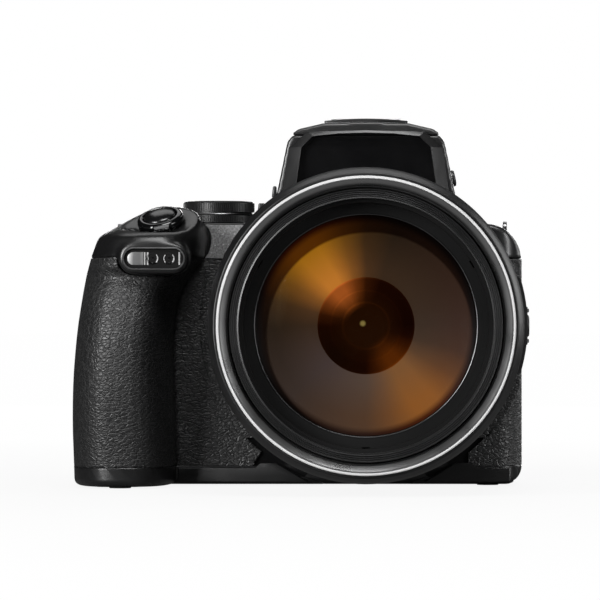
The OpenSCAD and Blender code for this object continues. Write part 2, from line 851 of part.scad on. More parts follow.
module lens_base() {
    color("#1a1a1b") difference() {
        union() {
            turned([[fixed_in_r, fixed_back], [fixed_r, fixed_back], [fixed_r, barrel_back],
                [barrel_r, barrel_back], [barrel_r, barrel_front], [ring_seat_r, barrel_front],
                [ring_seat_r, nose_back], [fixed_in_r, nose_back]]);
            lens_frame() intersection() {
                translate([0, 0, pod_back]) cylinder(r = pod_x, h = pod_front - pod_back);
                translate([0, -pod_half, 0]) cube([far, 2 * pod_half, far]);
            }
        }
        bored(fixed_in_r, 0, lens_reach);
        lens_frame() translate([pod_x - 1.6, -rocker_half - rocker_travel - run_gap, rocker_back - run_gap])
            cube([3, 2 * (rocker_half + rocker_travel + run_gap), rocker_front - rocker_back + 2 * run_gap]);
        at_snapback() translate([0, 0, -2]) cylinder(r = 3.5 + fit_gap, h = 3);
    }
}

module at_snapback() {
    translate([pod_x, -snapback_d, lens_axis_h]) rotate([0, 90, 0]) children();
}

module nose_ring() {
    color("#232324") turned([[fixed_in_r, nose_back], [nose_r, nose_back], [nose_r, nose_back + 3],
        [nose_r - 1.8, nose_front], [fixed_in_r, nose_front]]);
}

module control_ring() {
    color("#141414") lens_frame() difference() {
        translate([0, 0, ring_back]) linear_extrude(ring_w) polygon(knurl(nose_r + 0.1, 0.6, 60));
        translate([0, 0, ring_back - 1]) cylinder(r = ring_seat_r + fit_gap, h = ring_w + 2, $fn = 240);
    }
}

module mid_barrel() {
    color("#242425") turned([[mid_r - tube_wall, mid_back], [mid_r, mid_back], [mid_r, mid_front],
        [mid_r - tube_wall, mid_front]]);
}

module front_barrel() {
    trim_r = head_r - trim_w;
    color("#2a2a2b") turned([[front_bore_r, front_tube_back], [front_tube_r, front_tube_back],
        [front_tube_r, head_back], [head_r, head_back], [head_r, lens_reach - trim_t],
        [trim_r, lens_reach - trim_t], [trim_r, lens_reach - 0.7], [groove_r, lens_reach - 2.5],
        [filter_seat_r + 0.05, lens_reach - 2.5], [filter_seat_r + 0.05, filter_back],
        [front_bore_r, filter_back]]);
}

module trim_ring() {
    r = head_r - trim_w;
    z = lens_reach - trim_t;
    color("#e6e6e6") turned([[r, z], [head_r, z], [head_r, lens_reach - 0.3], [head_r - 0.3, lens_reach],
        [r + 0.3, lens_reach], [r, lens_reach - 0.3]]);
}

module filter_ring() {
    thread_back = filter_front - thread_len;
    seat_front = filter_back + filter_seat_len;
    color("#1f1f20") turned([[filter_neck_r, filter_back], [filter_seat_r, filter_back],
        [filter_seat_r, seat_front], [filter_r, seat_front], [filter_r, filter_front - 0.4],
        [filter_r - 0.4, filter_front], [thread_r, filter_front], [thread_r, thread_back],
        [filter_neck_r, thread_back]]);
}

module lens_retainer() {
    out = front_bore_r - fit_gap;
    color("#0e0e0e") turned([[glass_r, glass_lip_front + 0.25], [glass_edge_r - 0.6, cell_front],
        [out, cell_front], [out, cell_front + 2.5], [glass_r + 0.6, cell_front + 2.5],
        [glass_r, cell_front + 2.1]]);
}

module front_lens() {
    color("#9a5a1e") lens_frame() intersection() {
        translate([0, 0, glass_back]) cylinder(r = glass_edge_r, h = glass_apex - glass_back + 1);
        translate([0, 0, glass_apex - glass_curve]) sphere(r = glass_curve, $fn = 160);
    }
}

module inner_lens_holder() {
    seat_r = inner_glass_r + 0.1;
    tail = cone_back - 11;
    color("#3a2412") turned([[seat_r - 1.6, tail], [seat_r + 2.4, tail], [seat_r + 2.4, cone_back - 2],
        [front_bore_r - 2.9, cell_front - 10], [front_bore_r - 0.1, cell_front - 8],
        [front_bore_r - 0.1, cell_front], [glass_edge_r + 0.1, cell_front], [glass_edge_r + 0.1, glass_back],
        [glass_r + 0.2, glass_back], [glass_r + 0.2, glass_back - 2], [seat_r + 0.8, cone_back],
        [seat_r, cone_back], [seat_r, tail + 3], [seat_r - 1.6, tail + 3]]);
}

module inner_lens() {
    curve = 40;
    mid = cone_back - 4.9;
    half = 3;
    color("#7a3c12") lens_frame() intersection() {
        translate([0, 0, mid - half]) cylinder(r = inner_glass_r, h = 2 * half);
        translate([0, 0, mid + half - curve]) sphere(r = curve, $fn = 200);
        translate([0, 0, mid - half + curve]) sphere(r = curve, $fn = 200);
    }
}

module side_zoom_lever() {
    half = rocker_half;
    color("#2b2b2c") lens_frame() union() {
        translate([pod_x - 1.6 + run_gap, -half, rocker_back])
            cube([1.8, 2 * half, rocker_front - rocker_back]);
        for (i = [-2:2]) translate([pod_x, i * 2.4 - 0.6, rocker_back + 1.5])
            cube([1, 1.2, rocker_front - rocker_back - 3]);
    }
}

module snapback_button() {
    color("#303031") at_snapback() rotate_extrude()
        polygon([[0, -1.2], [3.5, -1.2], [3.5, 0.3], [3.1, 0.7], [0, 0.7]]);
}

// Top controls

module shutter_button() {
    color("#3a3a3b") at_shutter() rotate_extrude() polygon(concat(
        [[0, -8], [stem_r, -8], [stem_r, 1.2], [shutter_r, 1.2], [shutter_r, lever_h]],
        [for (i = [1:6]) let (a = 15 * i) [shutter_r * cos(a), lever_h + 1.3 * sin(a)]]));
}

module zoom_lever() {
    sleeve = shutter_r + 1;
    color("#262627") at_shutter() difference() {
        union() {
            rotate_extrude() polygon([[0, run_gap], [lever_r - 0.3, run_gap], [lever_r, run_gap + 0.4],
                [lever_r, lever_h - 0.8], [lever_r - 0.8, lever_h], [0, lever_h]]);
            translate([0, 0, -2.2]) cylinder(r = sleeve, h = 3);
            translate([-2.8, 0.5 - lever_r - lever_tab, run_gap]) cube([5.6, 5, lever_h - run_gap + 0.4]);
            for (i = [-1:1]) translate([i * 1.8 - 0.4, -lever_r - lever_tab, run_gap])
                cube([0.8, 1, lever_h - run_gap]);
        }
        translate([0, 0, -5]) cylinder(r = shutter_r + run_gap, h = 20);
    }
}

module mode_dial() {
    color("#2c2c2d") translate([-dial_x, dial_y, top_z]) union() {
        along_z(dial_low_z, dial_neck_z) polygon(knurl(dial_r, 0.5, 48));
        along_z(dial_neck_z - 0.1, dial_high_z + 0.1) circle(r = dial_r - dial_groove);
        along_z(dial_high_z, dial_rim_z) polygon(knurl(dial_r, 0.5, 48));
        translate([0, 0, dial_rim_z])
            cylinder(r1 = dial_r - 0.5, r2 = dial_r - 1.1, h = dial_top_z - dial_rim_z);
        along_z(-wall - 2, dial_neck_z) circle(r = dial_stem_r);
    }
}

module command_dial() {
    color("#252526") translate([command_pos[0], command_pos[1], top_z]) union() {
        translate([0, 0, run_gap]) linear_extrude(3) polygon(knurl(command_r, 0.5, 30));
        translate([0, 0, run_gap + 3]) cylinder(r1 = command_r - 0.5, r2 = command_r - 1, h = 0.4);
        translate([0, 0, -wall - 2]) cylinder(r = command_stem_r, h = wall + 3);
    }
}

module power_button() {
    color("#2a2a2b") translate([power_pos[0], power_pos[1], top_z]) push_button(power_r, 0.9);
}

module function_button() {
    color("#2a2a2b") translate([function_pos[0], function_pos[1], top_z]) push_button(function_r, 0.9);
}

module flash_button() {
    color("#2a2a2b") at_flash_button() push_button(flash_button_r, flash_button_proud);
}

// Flash

module flash_head() {
    color("#1e1e1f") union() {
        difference() {
            intersection() {
                hump(0);
                translate([-far, -far, cap_z + run_gap]) cube([2 * far, far + cap_back - run_gap, far]);
            }
            flash_slots();
        }
        along_x(-15, 15) polygon(flash_wedge());
        translate([0, flash_pivot[0], flash_pivot[1]]) rotate([0, 90, 0])
            cylinder(r = flash_pin_r, h = 2 * flash_lug_x + flash_lug_w + 4, center = true);
    }
}

// The flash lamp's carrier under the cap: its lower face looks forward once the cap is up
function flash_wedge() = [[-hump_front + 5, cap_z + 1], [-hump_front + 5, cap_z],
    [-hump_front + 15, cap_z - 5.5], [-hump_front + 20, cap_z - 5.5], [-hump_front + 20, cap_z + 1]];

module flash_slots() {
    w = flash_lug_w + 2 * run_gap;
    for (side = [-1, 1]) translate([side * flash_lug_x - w / 2, flash_pivot[0] - 5.2, cap_z - 1])
        cube([w, 20, far]);
}

module flash_window() {
    wedge = flash_wedge();
    run = wedge[2] - wedge[1];
    color("#d8d8d2") along_x(-13, 13) translate(wedge[1]) rotate(atan2(run[1], run[0]))
        translate([1, -0.6]) square([norm(run) - 2, 0.6]);
}

// Viewfinder

module eyecup() {
    y0 = body_back + eyepiece_len;
    color("#131313") difference() {
        hull() {
            eyepiece_form(0, y0, y0 + 1);
            eyepiece_form(2, y0 + eyecup_len - 3, y0 + eyecup_len - 1);
            eyepiece_form(1, y0 + eyecup_len - 0.1, y0 + eyecup_len);
        }
        hull() {
            eyepiece_form(-6, y0 - 0.5, y0 + 2);
            eyepiece_form(-2, y0 + eyecup_len, y0 + eyecup_len + 1);
        }
    }
}

module eyepiece_lens() {
    y0 = body_back + eyepiece_len - eyepiece_seat;
    color("#40464c") translate([0, y0, eyepiece_z]) rotate([-90, 0, 0]) rotate_extrude()
        polygon(concat([[0, 0], [eyepiece_r, 0]],
            arc(0, eyepiece_t - eyepiece_curve, eyepiece_curve, acos(eyepiece_r / eyepiece_curve), 90)));
}

module diopter_knob() {
    color("#262627") at_diopter() union() {
        translate([0, 0, run_gap]) linear_extrude(2.4) polygon(knurl(diopter_r, 0.4, 20));
        translate([0, 0, -3]) cylinder(r = diopter_stem_r, h = 4);
    }
}

// Monitor

module monitor_case() {
    x0 = monitor_x - monitor_w;
    mid = monitor_z + monitor_h / 2;
    color("#191919") difference() {
        union() {
            along_y(monitor_y, monitor_y + monitor_t)
                polygon(round_box(x0, monitor_z, monitor_x, monitor_z + monitor_h, 3));
            along_z(mid - knuckle_half, mid + knuckle_half) {
                translate([hinge_x, hinge_y]) circle(r = hinge_r);
                translate([monitor_x - 2, hinge_y - hinge_r])
                    square([hinge_x - monitor_x + 2, hinge_r + 1.5]);
            }
        }
        translate([hinge_x, hinge_y, 0]) cylinder(r = hinge_pin_r + pin_gap, h = far);
        along_y(monitor_y + monitor_t - 1, monitor_y + monitor_t + 1) polygon(glass_outline());
    }
}

function glass_outline() = round_box(monitor_x - monitor_w + 3, monitor_z + 4, monitor_x - 3,
    monitor_z + monitor_h - 4, 1.5);

module monitor_glass() {
    color("#0a0a0c") along_y(monitor_y + monitor_t - 1, monitor_y + monitor_t - 0.2)
        polygon(glass_outline());
}

module monitor_hinge() {
    mid = monitor_z + monitor_h / 2;
    h = 2 * (knuckle_half + lug_h + run_gap);
    color("#8a8a8c") translate([hinge_x, hinge_y, mid - h / 2]) cylinder(r = hinge_pin_r, h = h);
}

// Back controls

module record_button() {
    color("#2d2526") at_back(record_pos) push_button(record_r, 0.9);
}

module monitor_button() {
    color("#2a2a2b") at_back(monitor_button_pos) push_button(monitor_button_r, 0.9);
}

module display_button() {
    color("#2a2a2b") at_back([button_x[0], button_z[0]]) push_button(button_r, 0.9);
}

module playback_button() {
    color("#2a2a2b") at_back([button_x[1], button_z[0]]) push_button(button_r, 0.9);
}

module menu_button() {
    color("#2a2a2b") at_back([button_x[0], button_z[1]]) push_button(button_r, 0.9);
}

module delete_button() {
    color("#2a2a2b") at_back([button_x[1], button_z[1]]) push_button(button_r, 0.9);
}

module multi_selector() {
    color("#222223") at_back(selector_pos) difference() {
        union() {
            translate([0, 0, run_gap]) linear_extrude(2.2) polygon(knurl(selector_r, 0.4, 40));
            translate([0, 0, -wall - 1]) cylinder(r = selector_hub_r, h = wall + 2);
        }
        translate([0, 0, -far / 2]) cylinder(r = ok_r + fit_gap, h = far);
    }
}

module ok_button() {
    color("#2e2e2f") at_back(selector_pos) rotate_extrude()
        polygon([[0, -wall - 2.5], [ok_r + 1.2, -wall - 2.5], [ok_r + 1.2, -wall - 1 - run_gap],
            [ok_r, -wall - 1 - run_gap], [ok_r, 2.4], [ok_r - 0.5, 2.9], [0, 2.9]]);
}

module focus_selector() {
    color("#262627") at_back(focus_pos) difference() {
        union() {
            translate([0, 0, run_gap]) cylinder(r = focus_r, h = 2);
            translate([focus_r - 1, -1.5, run_gap]) cube([3.5, 3, 2.4]);
            translate([0, 0, -wall - 1]) cylinder(r = focus_hub_r, h = wall + 2);
        }
        translate([0, 0, -far / 2]) cylinder(r = lock_r + fit_gap, h = far);
    }
}

module lock_button() {
    color("#2e2e2f") at_back(focus_pos) rotate_extrude()
        polygon([[0, -wall - 2.5], [lock_r + 1.2, -wall - 2.5], [lock_r + 1.2, -wall - 1 - run_gap],
            [lock_r, -wall - 1 - run_gap], [lock_r, 2.2], [lock_r - 0.5, 2.7], [0, 2.7]]);
}

module thumb_pad() {
    color("#151515") along_y(body_back, body_back + 2)
        polygon(round_box(back_r - body_left, seam_z - 14, -body_left + 20, seam_z - 1, 3));
}

// Base and inside

module door_opening() {
    translate([door_x[0], door_y[0], -1]) cube([door_x[1] - door_x[0], door_y[1] - door_y[0], cover_z + 2]);
}

module door_pins(grow) {
    for (y = door_y) translate([door_pin_pos[0], y, door_pin_pos[1]]) rotate([90, 0, 0])
        cylinder(r = door_pin_r + grow, h = 4, center = true);
}

module battery_door() {
    color("#1b1b1c") difference() {
        union() {
            translate([door_x[0] + run_gap, door_y[0] + run_gap, foot_h])
                cube([door_pin_pos[0] - door_x[0] - run_gap, door_y[1] - door_y[0] - 2 * run_gap, door_t]);
            translate([door_pin_pos[0], door_y[0] + run_gap, door_pin_pos[1]]) rotate([-90, 0, 0])
                cylinder(r = 0.9, h = door_y[1] - door_y[0] - 2 * run_gap);
            door_pins(0);
        }
        translate([latch_x, battery_y - latch_w / 2 - run_gap, -1])
            cube([latch_room, latch_w + 2 * run_gap, foot_h + 2]);
    }
}

module door_latch() {
    color("#333334") translate([latch_x + run_gap, battery_y - latch_w / 2, foot_h + 0.2]) union() {
        cube([latch_l, latch_w, 0.6]);
        for (x = [1, 3]) translate([x, 1, -0.2]) cube([0.8, latch_w - 2, 0.4]);
    }
}

module battery() {
    color("#3b3d42")
        translate([battery_x - battery_w / 2, battery_y - battery_l / 2, foot_h + door_t + box_gap])
            cube([battery_w, battery_l, battery_h]);
}

module battery_box() {
    w = battery_w + 2 * (box_rim + box_flange);
    l = battery_l + 2 * (box_rim + box_flange);
    h = battery_h + door_t + box_gap + box_wall - wall;
    color("#2a2a2a") difference() {
        translate([battery_x - w / 2, battery_y - l / 2, cover_z]) cube([w, l, h]);
        translate([battery_x - battery_w / 2 - box_gap, battery_y - battery_l / 2 - box_gap, 0])
            cube([battery_w + 2 * box_gap, battery_l + 2 * box_gap, cover_z + h - box_wall]);
    }
}

module connector_cover() {
    h = port_z[1] - port_z[0] - 2 * run_gap;
    z = port_z[0] + run_gap;
    color("#1c1c1c") union() {
        translate([port_pin_pos[0] - port_half_t, port_pin_pos[1], z])
            cube([2 * port_half_t, port_y[1] - run_gap - port_pin_pos[1], h]);
        translate([port_pin_pos[0], port_pin_pos[1], z]) cylinder(r = port_half_t, h = h);
        port_pin(0);
    }
}

module connector_jacks() {
    x1 = body_right - wall;
    middle = (port_y[0] + port_y[1]) / 2;
    color("#55575b") difference() {
        translate([x1 - 8, port_y[0] - 1, port_z[0] - 2])
            cube([8, port_y[1] - port_y[0] + 2, port_z[1] - port_z[0] + 4]);
        for (z = [port_z[0] + 3, port_z[0] + 13]) translate([x1 - 6, middle - 1.5, z]) cube([10, 3, 7]);
        along_x(x1 - 6, far) translate([middle, port_z[1] - 5]) circle(r = 1.75);
    }
}

module main_board() {
    color("#1f4a2c") translate([-60, board_y, 14]) cube([90, board_t, 52]);
}

module image_sensor() {
    color("#2c3140") translate([-9, board_y - 5, lens_axis_h - 8]) union() {
        cube([18, 5, 16]);
        translate([2, -0.6, 2]) cube([14, 0.6, 12]);
    }
}

front_cover();
rear_cover();
top_cover();
base_plate();
grip_skin();
side_skin();
viewfinder_plate();
lamp_bezel();
lamp_window();
tripod_socket();
rubber_feet();
strap_eyelets();
accessory_shoe();
lens_base();
nose_ring();
control_ring();
mid_barrel();
front_barrel();
trim_ring();
filter_ring();
lens_retainer();
front_lens();
inner_lens_holder();
inner_lens();
side_zoom_lever();
snapback_button();
shutter_button();
zoom_lever();
mode_dial();
command_dial();
power_button();
function_button();
record_button();
flash_head();
flash_window();
flash_button();
eyecup();
eyepiece_lens();
diopter_knob();
monitor_case();
monitor_glass();
monitor_hinge();
monitor_button();
display_button();
playback_button();
menu_button();
delete_button();
multi_selector();
ok_button();
focus_selector();
lock_button();
thumb_pad();
battery();
battery_box();
battery_door();
door_latch();
connector_cover();
connector_jacks();
main_board();
image_sensor();
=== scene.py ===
import math

import bmesh
import bpy
from mathutils import Matrix, Vector
from mathutils.bvhtree import BVHTree


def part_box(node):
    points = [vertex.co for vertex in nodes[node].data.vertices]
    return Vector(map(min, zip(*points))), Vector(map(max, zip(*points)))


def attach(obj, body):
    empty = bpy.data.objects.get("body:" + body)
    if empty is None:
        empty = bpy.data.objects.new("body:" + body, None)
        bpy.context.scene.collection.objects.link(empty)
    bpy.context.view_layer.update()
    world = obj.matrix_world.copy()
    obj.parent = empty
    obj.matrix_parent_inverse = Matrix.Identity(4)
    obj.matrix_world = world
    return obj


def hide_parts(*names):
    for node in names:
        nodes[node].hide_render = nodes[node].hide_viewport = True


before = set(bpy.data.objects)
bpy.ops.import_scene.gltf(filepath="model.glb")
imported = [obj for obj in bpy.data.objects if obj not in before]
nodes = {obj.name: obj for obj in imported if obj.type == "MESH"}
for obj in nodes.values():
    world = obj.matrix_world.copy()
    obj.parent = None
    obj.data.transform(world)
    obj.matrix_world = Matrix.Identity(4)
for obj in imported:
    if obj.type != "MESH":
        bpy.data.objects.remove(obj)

scene = bpy.context.scene
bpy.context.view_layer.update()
print("stage: frame loaded, pieces", len(nodes))

mm = 0.001
lensHeight = 51.5
lensCentre = Vector((0.0, 0.0, lensHeight * mm))


# Shader helpers

def newMaterial(name):
    material = bpy.data.materials.new(name)
    material.use_nodes = True
    tree = material.node_tree
    return material, tree, tree.nodes["Principled BSDF"]


def objectPoint(tree, stretch=(1.0, 1.0, 1.0)):
    coords = tree.nodes.new("ShaderNodeTexCoord")
    mapping = tree.nodes.new("ShaderNodeMapping")
    mapping.inputs["Scale"].default_value = stretch
    tree.links.new(coords.outputs["Object"], mapping.inputs["Vector"])
    return mapping.outputs["Vector"]


def noiseValue(tree, point, scale, detail=3.0, roughness=0.5):
    noise = tree.nodes.new("ShaderNodeTexNoise")
    noise.inputs["Scale"].default_value = scale
    noise.inputs["Detail"].default_value = detail
    noise.inputs["Roughness"].default_value = roughness
    tree.links.new(point, noise.inputs["Vector"])
    return noise.outputs["Fac"]


def cellValue(tree, point, scale, feature="F1"):
    cells = tree.nodes.new("ShaderNodeTexVoronoi")
    cells.feature = feature
    cells.inputs["Scale"].default_value = scale
    tree.links.new(point, cells.inputs["Vector"])
    return cells.outputs["Distance"]


def mathValue(tree, operation, first, second=0.0):
    node = tree.nodes.new("ShaderNodeMath")
    node.operation = operation
    for socket, value in zip(node.inputs, (first, second)):
        if isinstance(value, (int, float)):
            socket.default_value = value
        else:
            tree.links.new(value, socket)
    return node.outputs["Value"]


def stretchValue(tree, value, fromLow, fromHigh, toLow, toHigh):
    node = tree.nodes.new("ShaderNodeMapRange")
    node.inputs["From Min"].default_value = fromLow
    node.inputs["From Max"].default_value = fromHigh
    node.inputs["To Min"].default_value = toLow
    node.inputs["To Max"].default_value = toHigh
    tree.links.new(value, node.inputs["Value"])
    return node.outputs["Result"]


def rampColour(tree, value, stops):
    node = tree.nodes.new("ShaderNodeValToRGB")
    while len(node.color_ramp.elements) < len(stops):
        node.color_ramp.elements.new(0.5)
    for element, (place, colour) in zip(node.color_ramp.elements, stops):
        element.position = place
        element.color = (*colour, 1.0)
    tree.links.new(value, node.inputs["Fac"])
    return node.outputs["Color"]


def mixColour(tree, factor, first, second):
    node = tree.nodes.new("ShaderNodeMix")
    node.data_type = "RGBA"
    for socket, value in ((node.inputs[0], factor), (node.inputs[6], first), (node.inputs[7], second)):
        if isinstance(value, (int, float)):
            socket.default_value = value
        elif isinstance(value, tuple):
            socket.default_value = (*value, 1.0)
        else:
            tree.links.new(value, socket)
    return node.outputs[2]


def bumpNormal(tree, height, strength, distance):
    node = tree.nodes.new("ShaderNodeBump")
    node.inputs["Strength"].default_value = strength
    node.inputs["Distance"].default_value = distance
    tree.links.new(height, node.inputs["Height"])
    return node.outputs["Normal"]


def finePlastic(name, dark, light, gloss, grainScale, grainDepth, specular=0.5, coat=0.0, metallic=0.0):
    material, tree, shader = newMaterial(name)
    point = objectPoint(tree)
    patches = noiseValue(tree, point, 45.0, 4.0, 0.6)
    tree.links.new(rampColour(tree, patches, [(0.3, dark), (0.7, light)]), shader.inputs["Base Color"])
    smear = noiseValue(tree, point, 90.0, 3.0, 0.55)
    tree.links.new(stretchValue(tree, smear, 0.3, 0.7, gloss[0], gloss[1]), shader.inputs["Roughness"])
    grain = noiseValue(tree, point, grainScale, 2.0, 0.5)
    tree.links.new(bumpNormal(tree, grain, 1.0, grainDepth), shader.inputs["Normal"])
    shader.inputs["Metallic"].default_value = metallic
    shader.inputs["Specular IOR Level"].default_value = specular
    shader.inputs["Coat Weight"].default_value = coat
    shader.inputs["Coat Roughness"].default_value = 0.08
    return material


def wrinkledRubber(name):
    material, tree, shader = newMaterial(name)
    point = objectPoint(tree, (0.75, 0.75, 1.3))
    wander = noiseValue(tree, point, 300.0, 1.0, 0.5)
    shifted = tree.nodes.new("ShaderNodeVectorMath")
    shifted.operation = "MULTIPLY_ADD"
    shifted.inputs[1].default_value = (0.0016, 0.0016, 0.0016)
    tree.links.new(wander, shifted.inputs[0])
    tree.links.new(point, shifted.inputs[2])
    warped = shifted.outputs["Vector"]
    fine = stretchValue(tree, cellValue(tree, warped, 760.0, "DISTANCE_TO_EDGE"), 0.0, 0.18, 0.0, 1.0)
    broad = stretchValue(tree, cellValue(tree, warped, 310.0, "DISTANCE_TO_EDGE"), 0.0, 0.12, 0.0, 1.0)
    height = mixColour(tree, 0.4, fine, broad)
    tint = noiseValue(tree, point, 38.0, 4.0, 0.6)
    ground = rampColour(tree, tint, [(0.3, (0.005, 0.005, 0.0052)), (0.7, (0.008, 0.008, 0.0082))])
    # Painted shade: the creases of the grain are coloured darker than the pads
    tree.links.new(mixColour(tree, height, (0.002, 0.002, 0.0021), ground), shader.inputs["Base Color"])
    tree.links.new(stretchValue(tree, height, 0.1, 0.9, 0.75, 0.44), shader.inputs["Roughness"])
    tree.links.new(bumpNormal(tree, height, 1.0, 0.00018), shader.inputs["Normal"])
    shader.inputs["Specular IOR Level"].default_value = 0.7
    return material


casingPlastic = finePlastic("casingPlastic", (0.004, 0.004, 0.0042), (0.006, 0.006, 0.0062), (0.3, 0.36),
                            2600.0, 0.000012)
controlPlastic = finePlastic("controlPlastic", (0.006, 0.006, 0.0063), (0.009, 0.009, 0.0093),
                             (0.34, 0.42), 3200.0, 0.00002)
glossBlack = finePlastic("glossBlack", (0.002, 0.002, 0.0022), (0.003, 0.003, 0.0032), (0.1, 0.15), 500.0,
                         0.000003)
buttonBlack = finePlastic("buttonBlack", (0.003, 0.003, 0.0032), (0.005, 0.005, 0.0052), (0.2, 0.26),
                          900.0, 0.000003)
gripRubber = wrinkledRubber("gripRubber")
barrelPaint = finePlastic("barrelPaint", (0.004, 0.004, 0.0042), (0.006, 0.006, 0.0062), (0.34, 0.42),
                          3000.0, 0.00001)
flatBlack = finePlastic("flatBlack", (0.003, 0.003, 0.003), (0.004, 0.004, 0.004), (0.62, 0.72), 2400.0,
                        0.00001, specular=0.12)
satinMetal = finePlastic("satinMetal", (0.16, 0.16, 0.162), (0.2, 0.2, 0.202), (0.3, 0.38), 2000.0,
                         0.000004, metallic=1.0)
gunMetal = finePlastic("gunMetal", (0.06, 0.06, 0.062), (0.085, 0.085, 0.087), (0.28, 0.36), 2000.0,
                       0.000004, metallic=1.0)
# Painted highlight: this white stands for the highlight on the rounded front edge of the lens
paintedHighlightRing = finePlastic("paintedHighlightRing", (0.43, 0.43, 0.43), (0.48, 0.48, 0.48), (0.25, 0.33), 1500.0,
                         0.000001)
palePlastic = finePlastic("palePlastic", (0.26, 0.26, 0.26), (0.32, 0.32, 0.32), (0.3, 0.4), 1200.0,
                          0.000004)
bevelMetal = finePlastic("bevelMetal", (0.29, 0.29, 0.291), (0.33, 0.33, 0.331), (0.26, 0.32), 1500.0,
                         0.000001, metallic=1.0)
brightTrim = finePlastic("brightTrim", (0.82, 0.82, 0.83), (0.9, 0.9, 0.9), (0.14, 0.22), 900.0, 0.000002,
                         metallic=1.0)
shadedSteel = finePlastic("shadedSteel", (0.42, 0.42, 0.43), (0.5, 0.5, 0.51), (0.26, 0.36), 1400.0,
                          0.000006, metallic=1.0)
softRubber = finePlastic("softRubber", (0.012, 0.012, 0.012), (0.017, 0.017, 0.017), (0.58, 0.7), 2200.0,
                         0.00005)
cellGrey = finePlastic("cellGrey", (0.1, 0.1, 0.105), (0.13, 0.13, 0.135), (0.4, 0.5), 1500.0, 0.00003)
boardGreen = finePlastic("boardGreen", (0.008, 0.06, 0.02), (0.012, 0.085, 0.03), (0.3, 0.42), 700.0,
                         0.00002)
markPaint = finePlastic("markPaint", (0.42, 0.42, 0.42), (0.5, 0.5, 0.5), (0.4, 0.5), 1500.0, 0.000002)
recordRed = finePlastic("recordRed", (0.3, 0.006, 0.006), (0.36, 0.01, 0.009), (0.35, 0.45), 1500.0,
                        0.000002)
screenBlack = finePlastic("screenBlack", (0.003, 0.0034, 0.0045), (0.004, 0.0046, 0.006), (0.06, 0.1),
                          40.0, 0.0)
eyeGlass = finePlastic("eyeGlass", (0.004, 0.002, 0.009), (0.007, 0.004, 0.014), (0.05, 0.09), 40.0, 0.0,
                       coat=1.0)
print("stage: plain materials")


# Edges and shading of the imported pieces

def smoothGroup():
    group = bpy.data.node_groups.new("smoothByAngle", "GeometryNodeTree")
    group.interface.new_socket("Geometry", in_out="INPUT", socket_type="NodeSocketGeometry")
    group.interface.new_socket("Geometry", in_out="OUTPUT", socket_type="NodeSocketGeometry")
    start = group.nodes.new("NodeGroupInput")
    end = group.nodes.new("NodeGroupOutput")
    drop = group.nodes.new("GeometryNodeRemoveAttribute")
    drop.inputs["Name"].default_value = "custom_normal"
    faces = group.nodes.new("GeometryNodeSetShadeSmooth")
    edges = group.nodes.new("GeometryNodeSetShadeSmooth")
    edges.domain = "EDGE"
    edges.inputs["Shade Smooth"].default_value = False
    angle = group.nodes.new("GeometryNodeInputMeshEdgeAngle")
    over = group.nodes.new("FunctionNodeCompare")
    over.data_type = "FLOAT"
    over.operation = "GREATER_THAN"
    over.inputs[1].default_value = math.radians(32.0)
    group.links.new(start.outputs[0], drop.inputs["Geometry"])
    group.links.new(drop.outputs["Geometry"], faces.inputs["Geometry"])
    group.links.new(faces.outputs["Geometry"], edges.inputs["Geometry"])
    group.links.new(angle.outputs["Unsigned Angle"], over.inputs[0])
    group.links.new(over.outputs["Result"], edges.inputs["Selection"])
    group.links.new(edges.outputs["Geometry"], end.inputs[0])
    return group


shadeByAngle = smoothGroup()


def finishNode(name, material, edge=0.25):
    node = nodes[name]
    node.data.materials.clear()
    node.data.materials.append(material)
    weld = node.modifiers.new("weld", "WELD")
    weld.merge_threshold = 0.00001
    shade = node.modifiers.new("shade", "NODES")
    shade.node_group = shadeByAngle
    if edge > 0:
        plain = node.modifiers.new("plain", "DECIMATE")
        plain.decimate_type = "DISSOLVE"
        plain.angle_limit = math.radians(0.4)
        bevel = node.modifiers.new("bevel", "BEVEL")
        bevel.width = edge * mm
        bevel.segments = 2
        bevel.limit_method = "ANGLE"
        bevel.angle_limit = math.radians(32.0)
        bevel.harden_normals = True
    return node


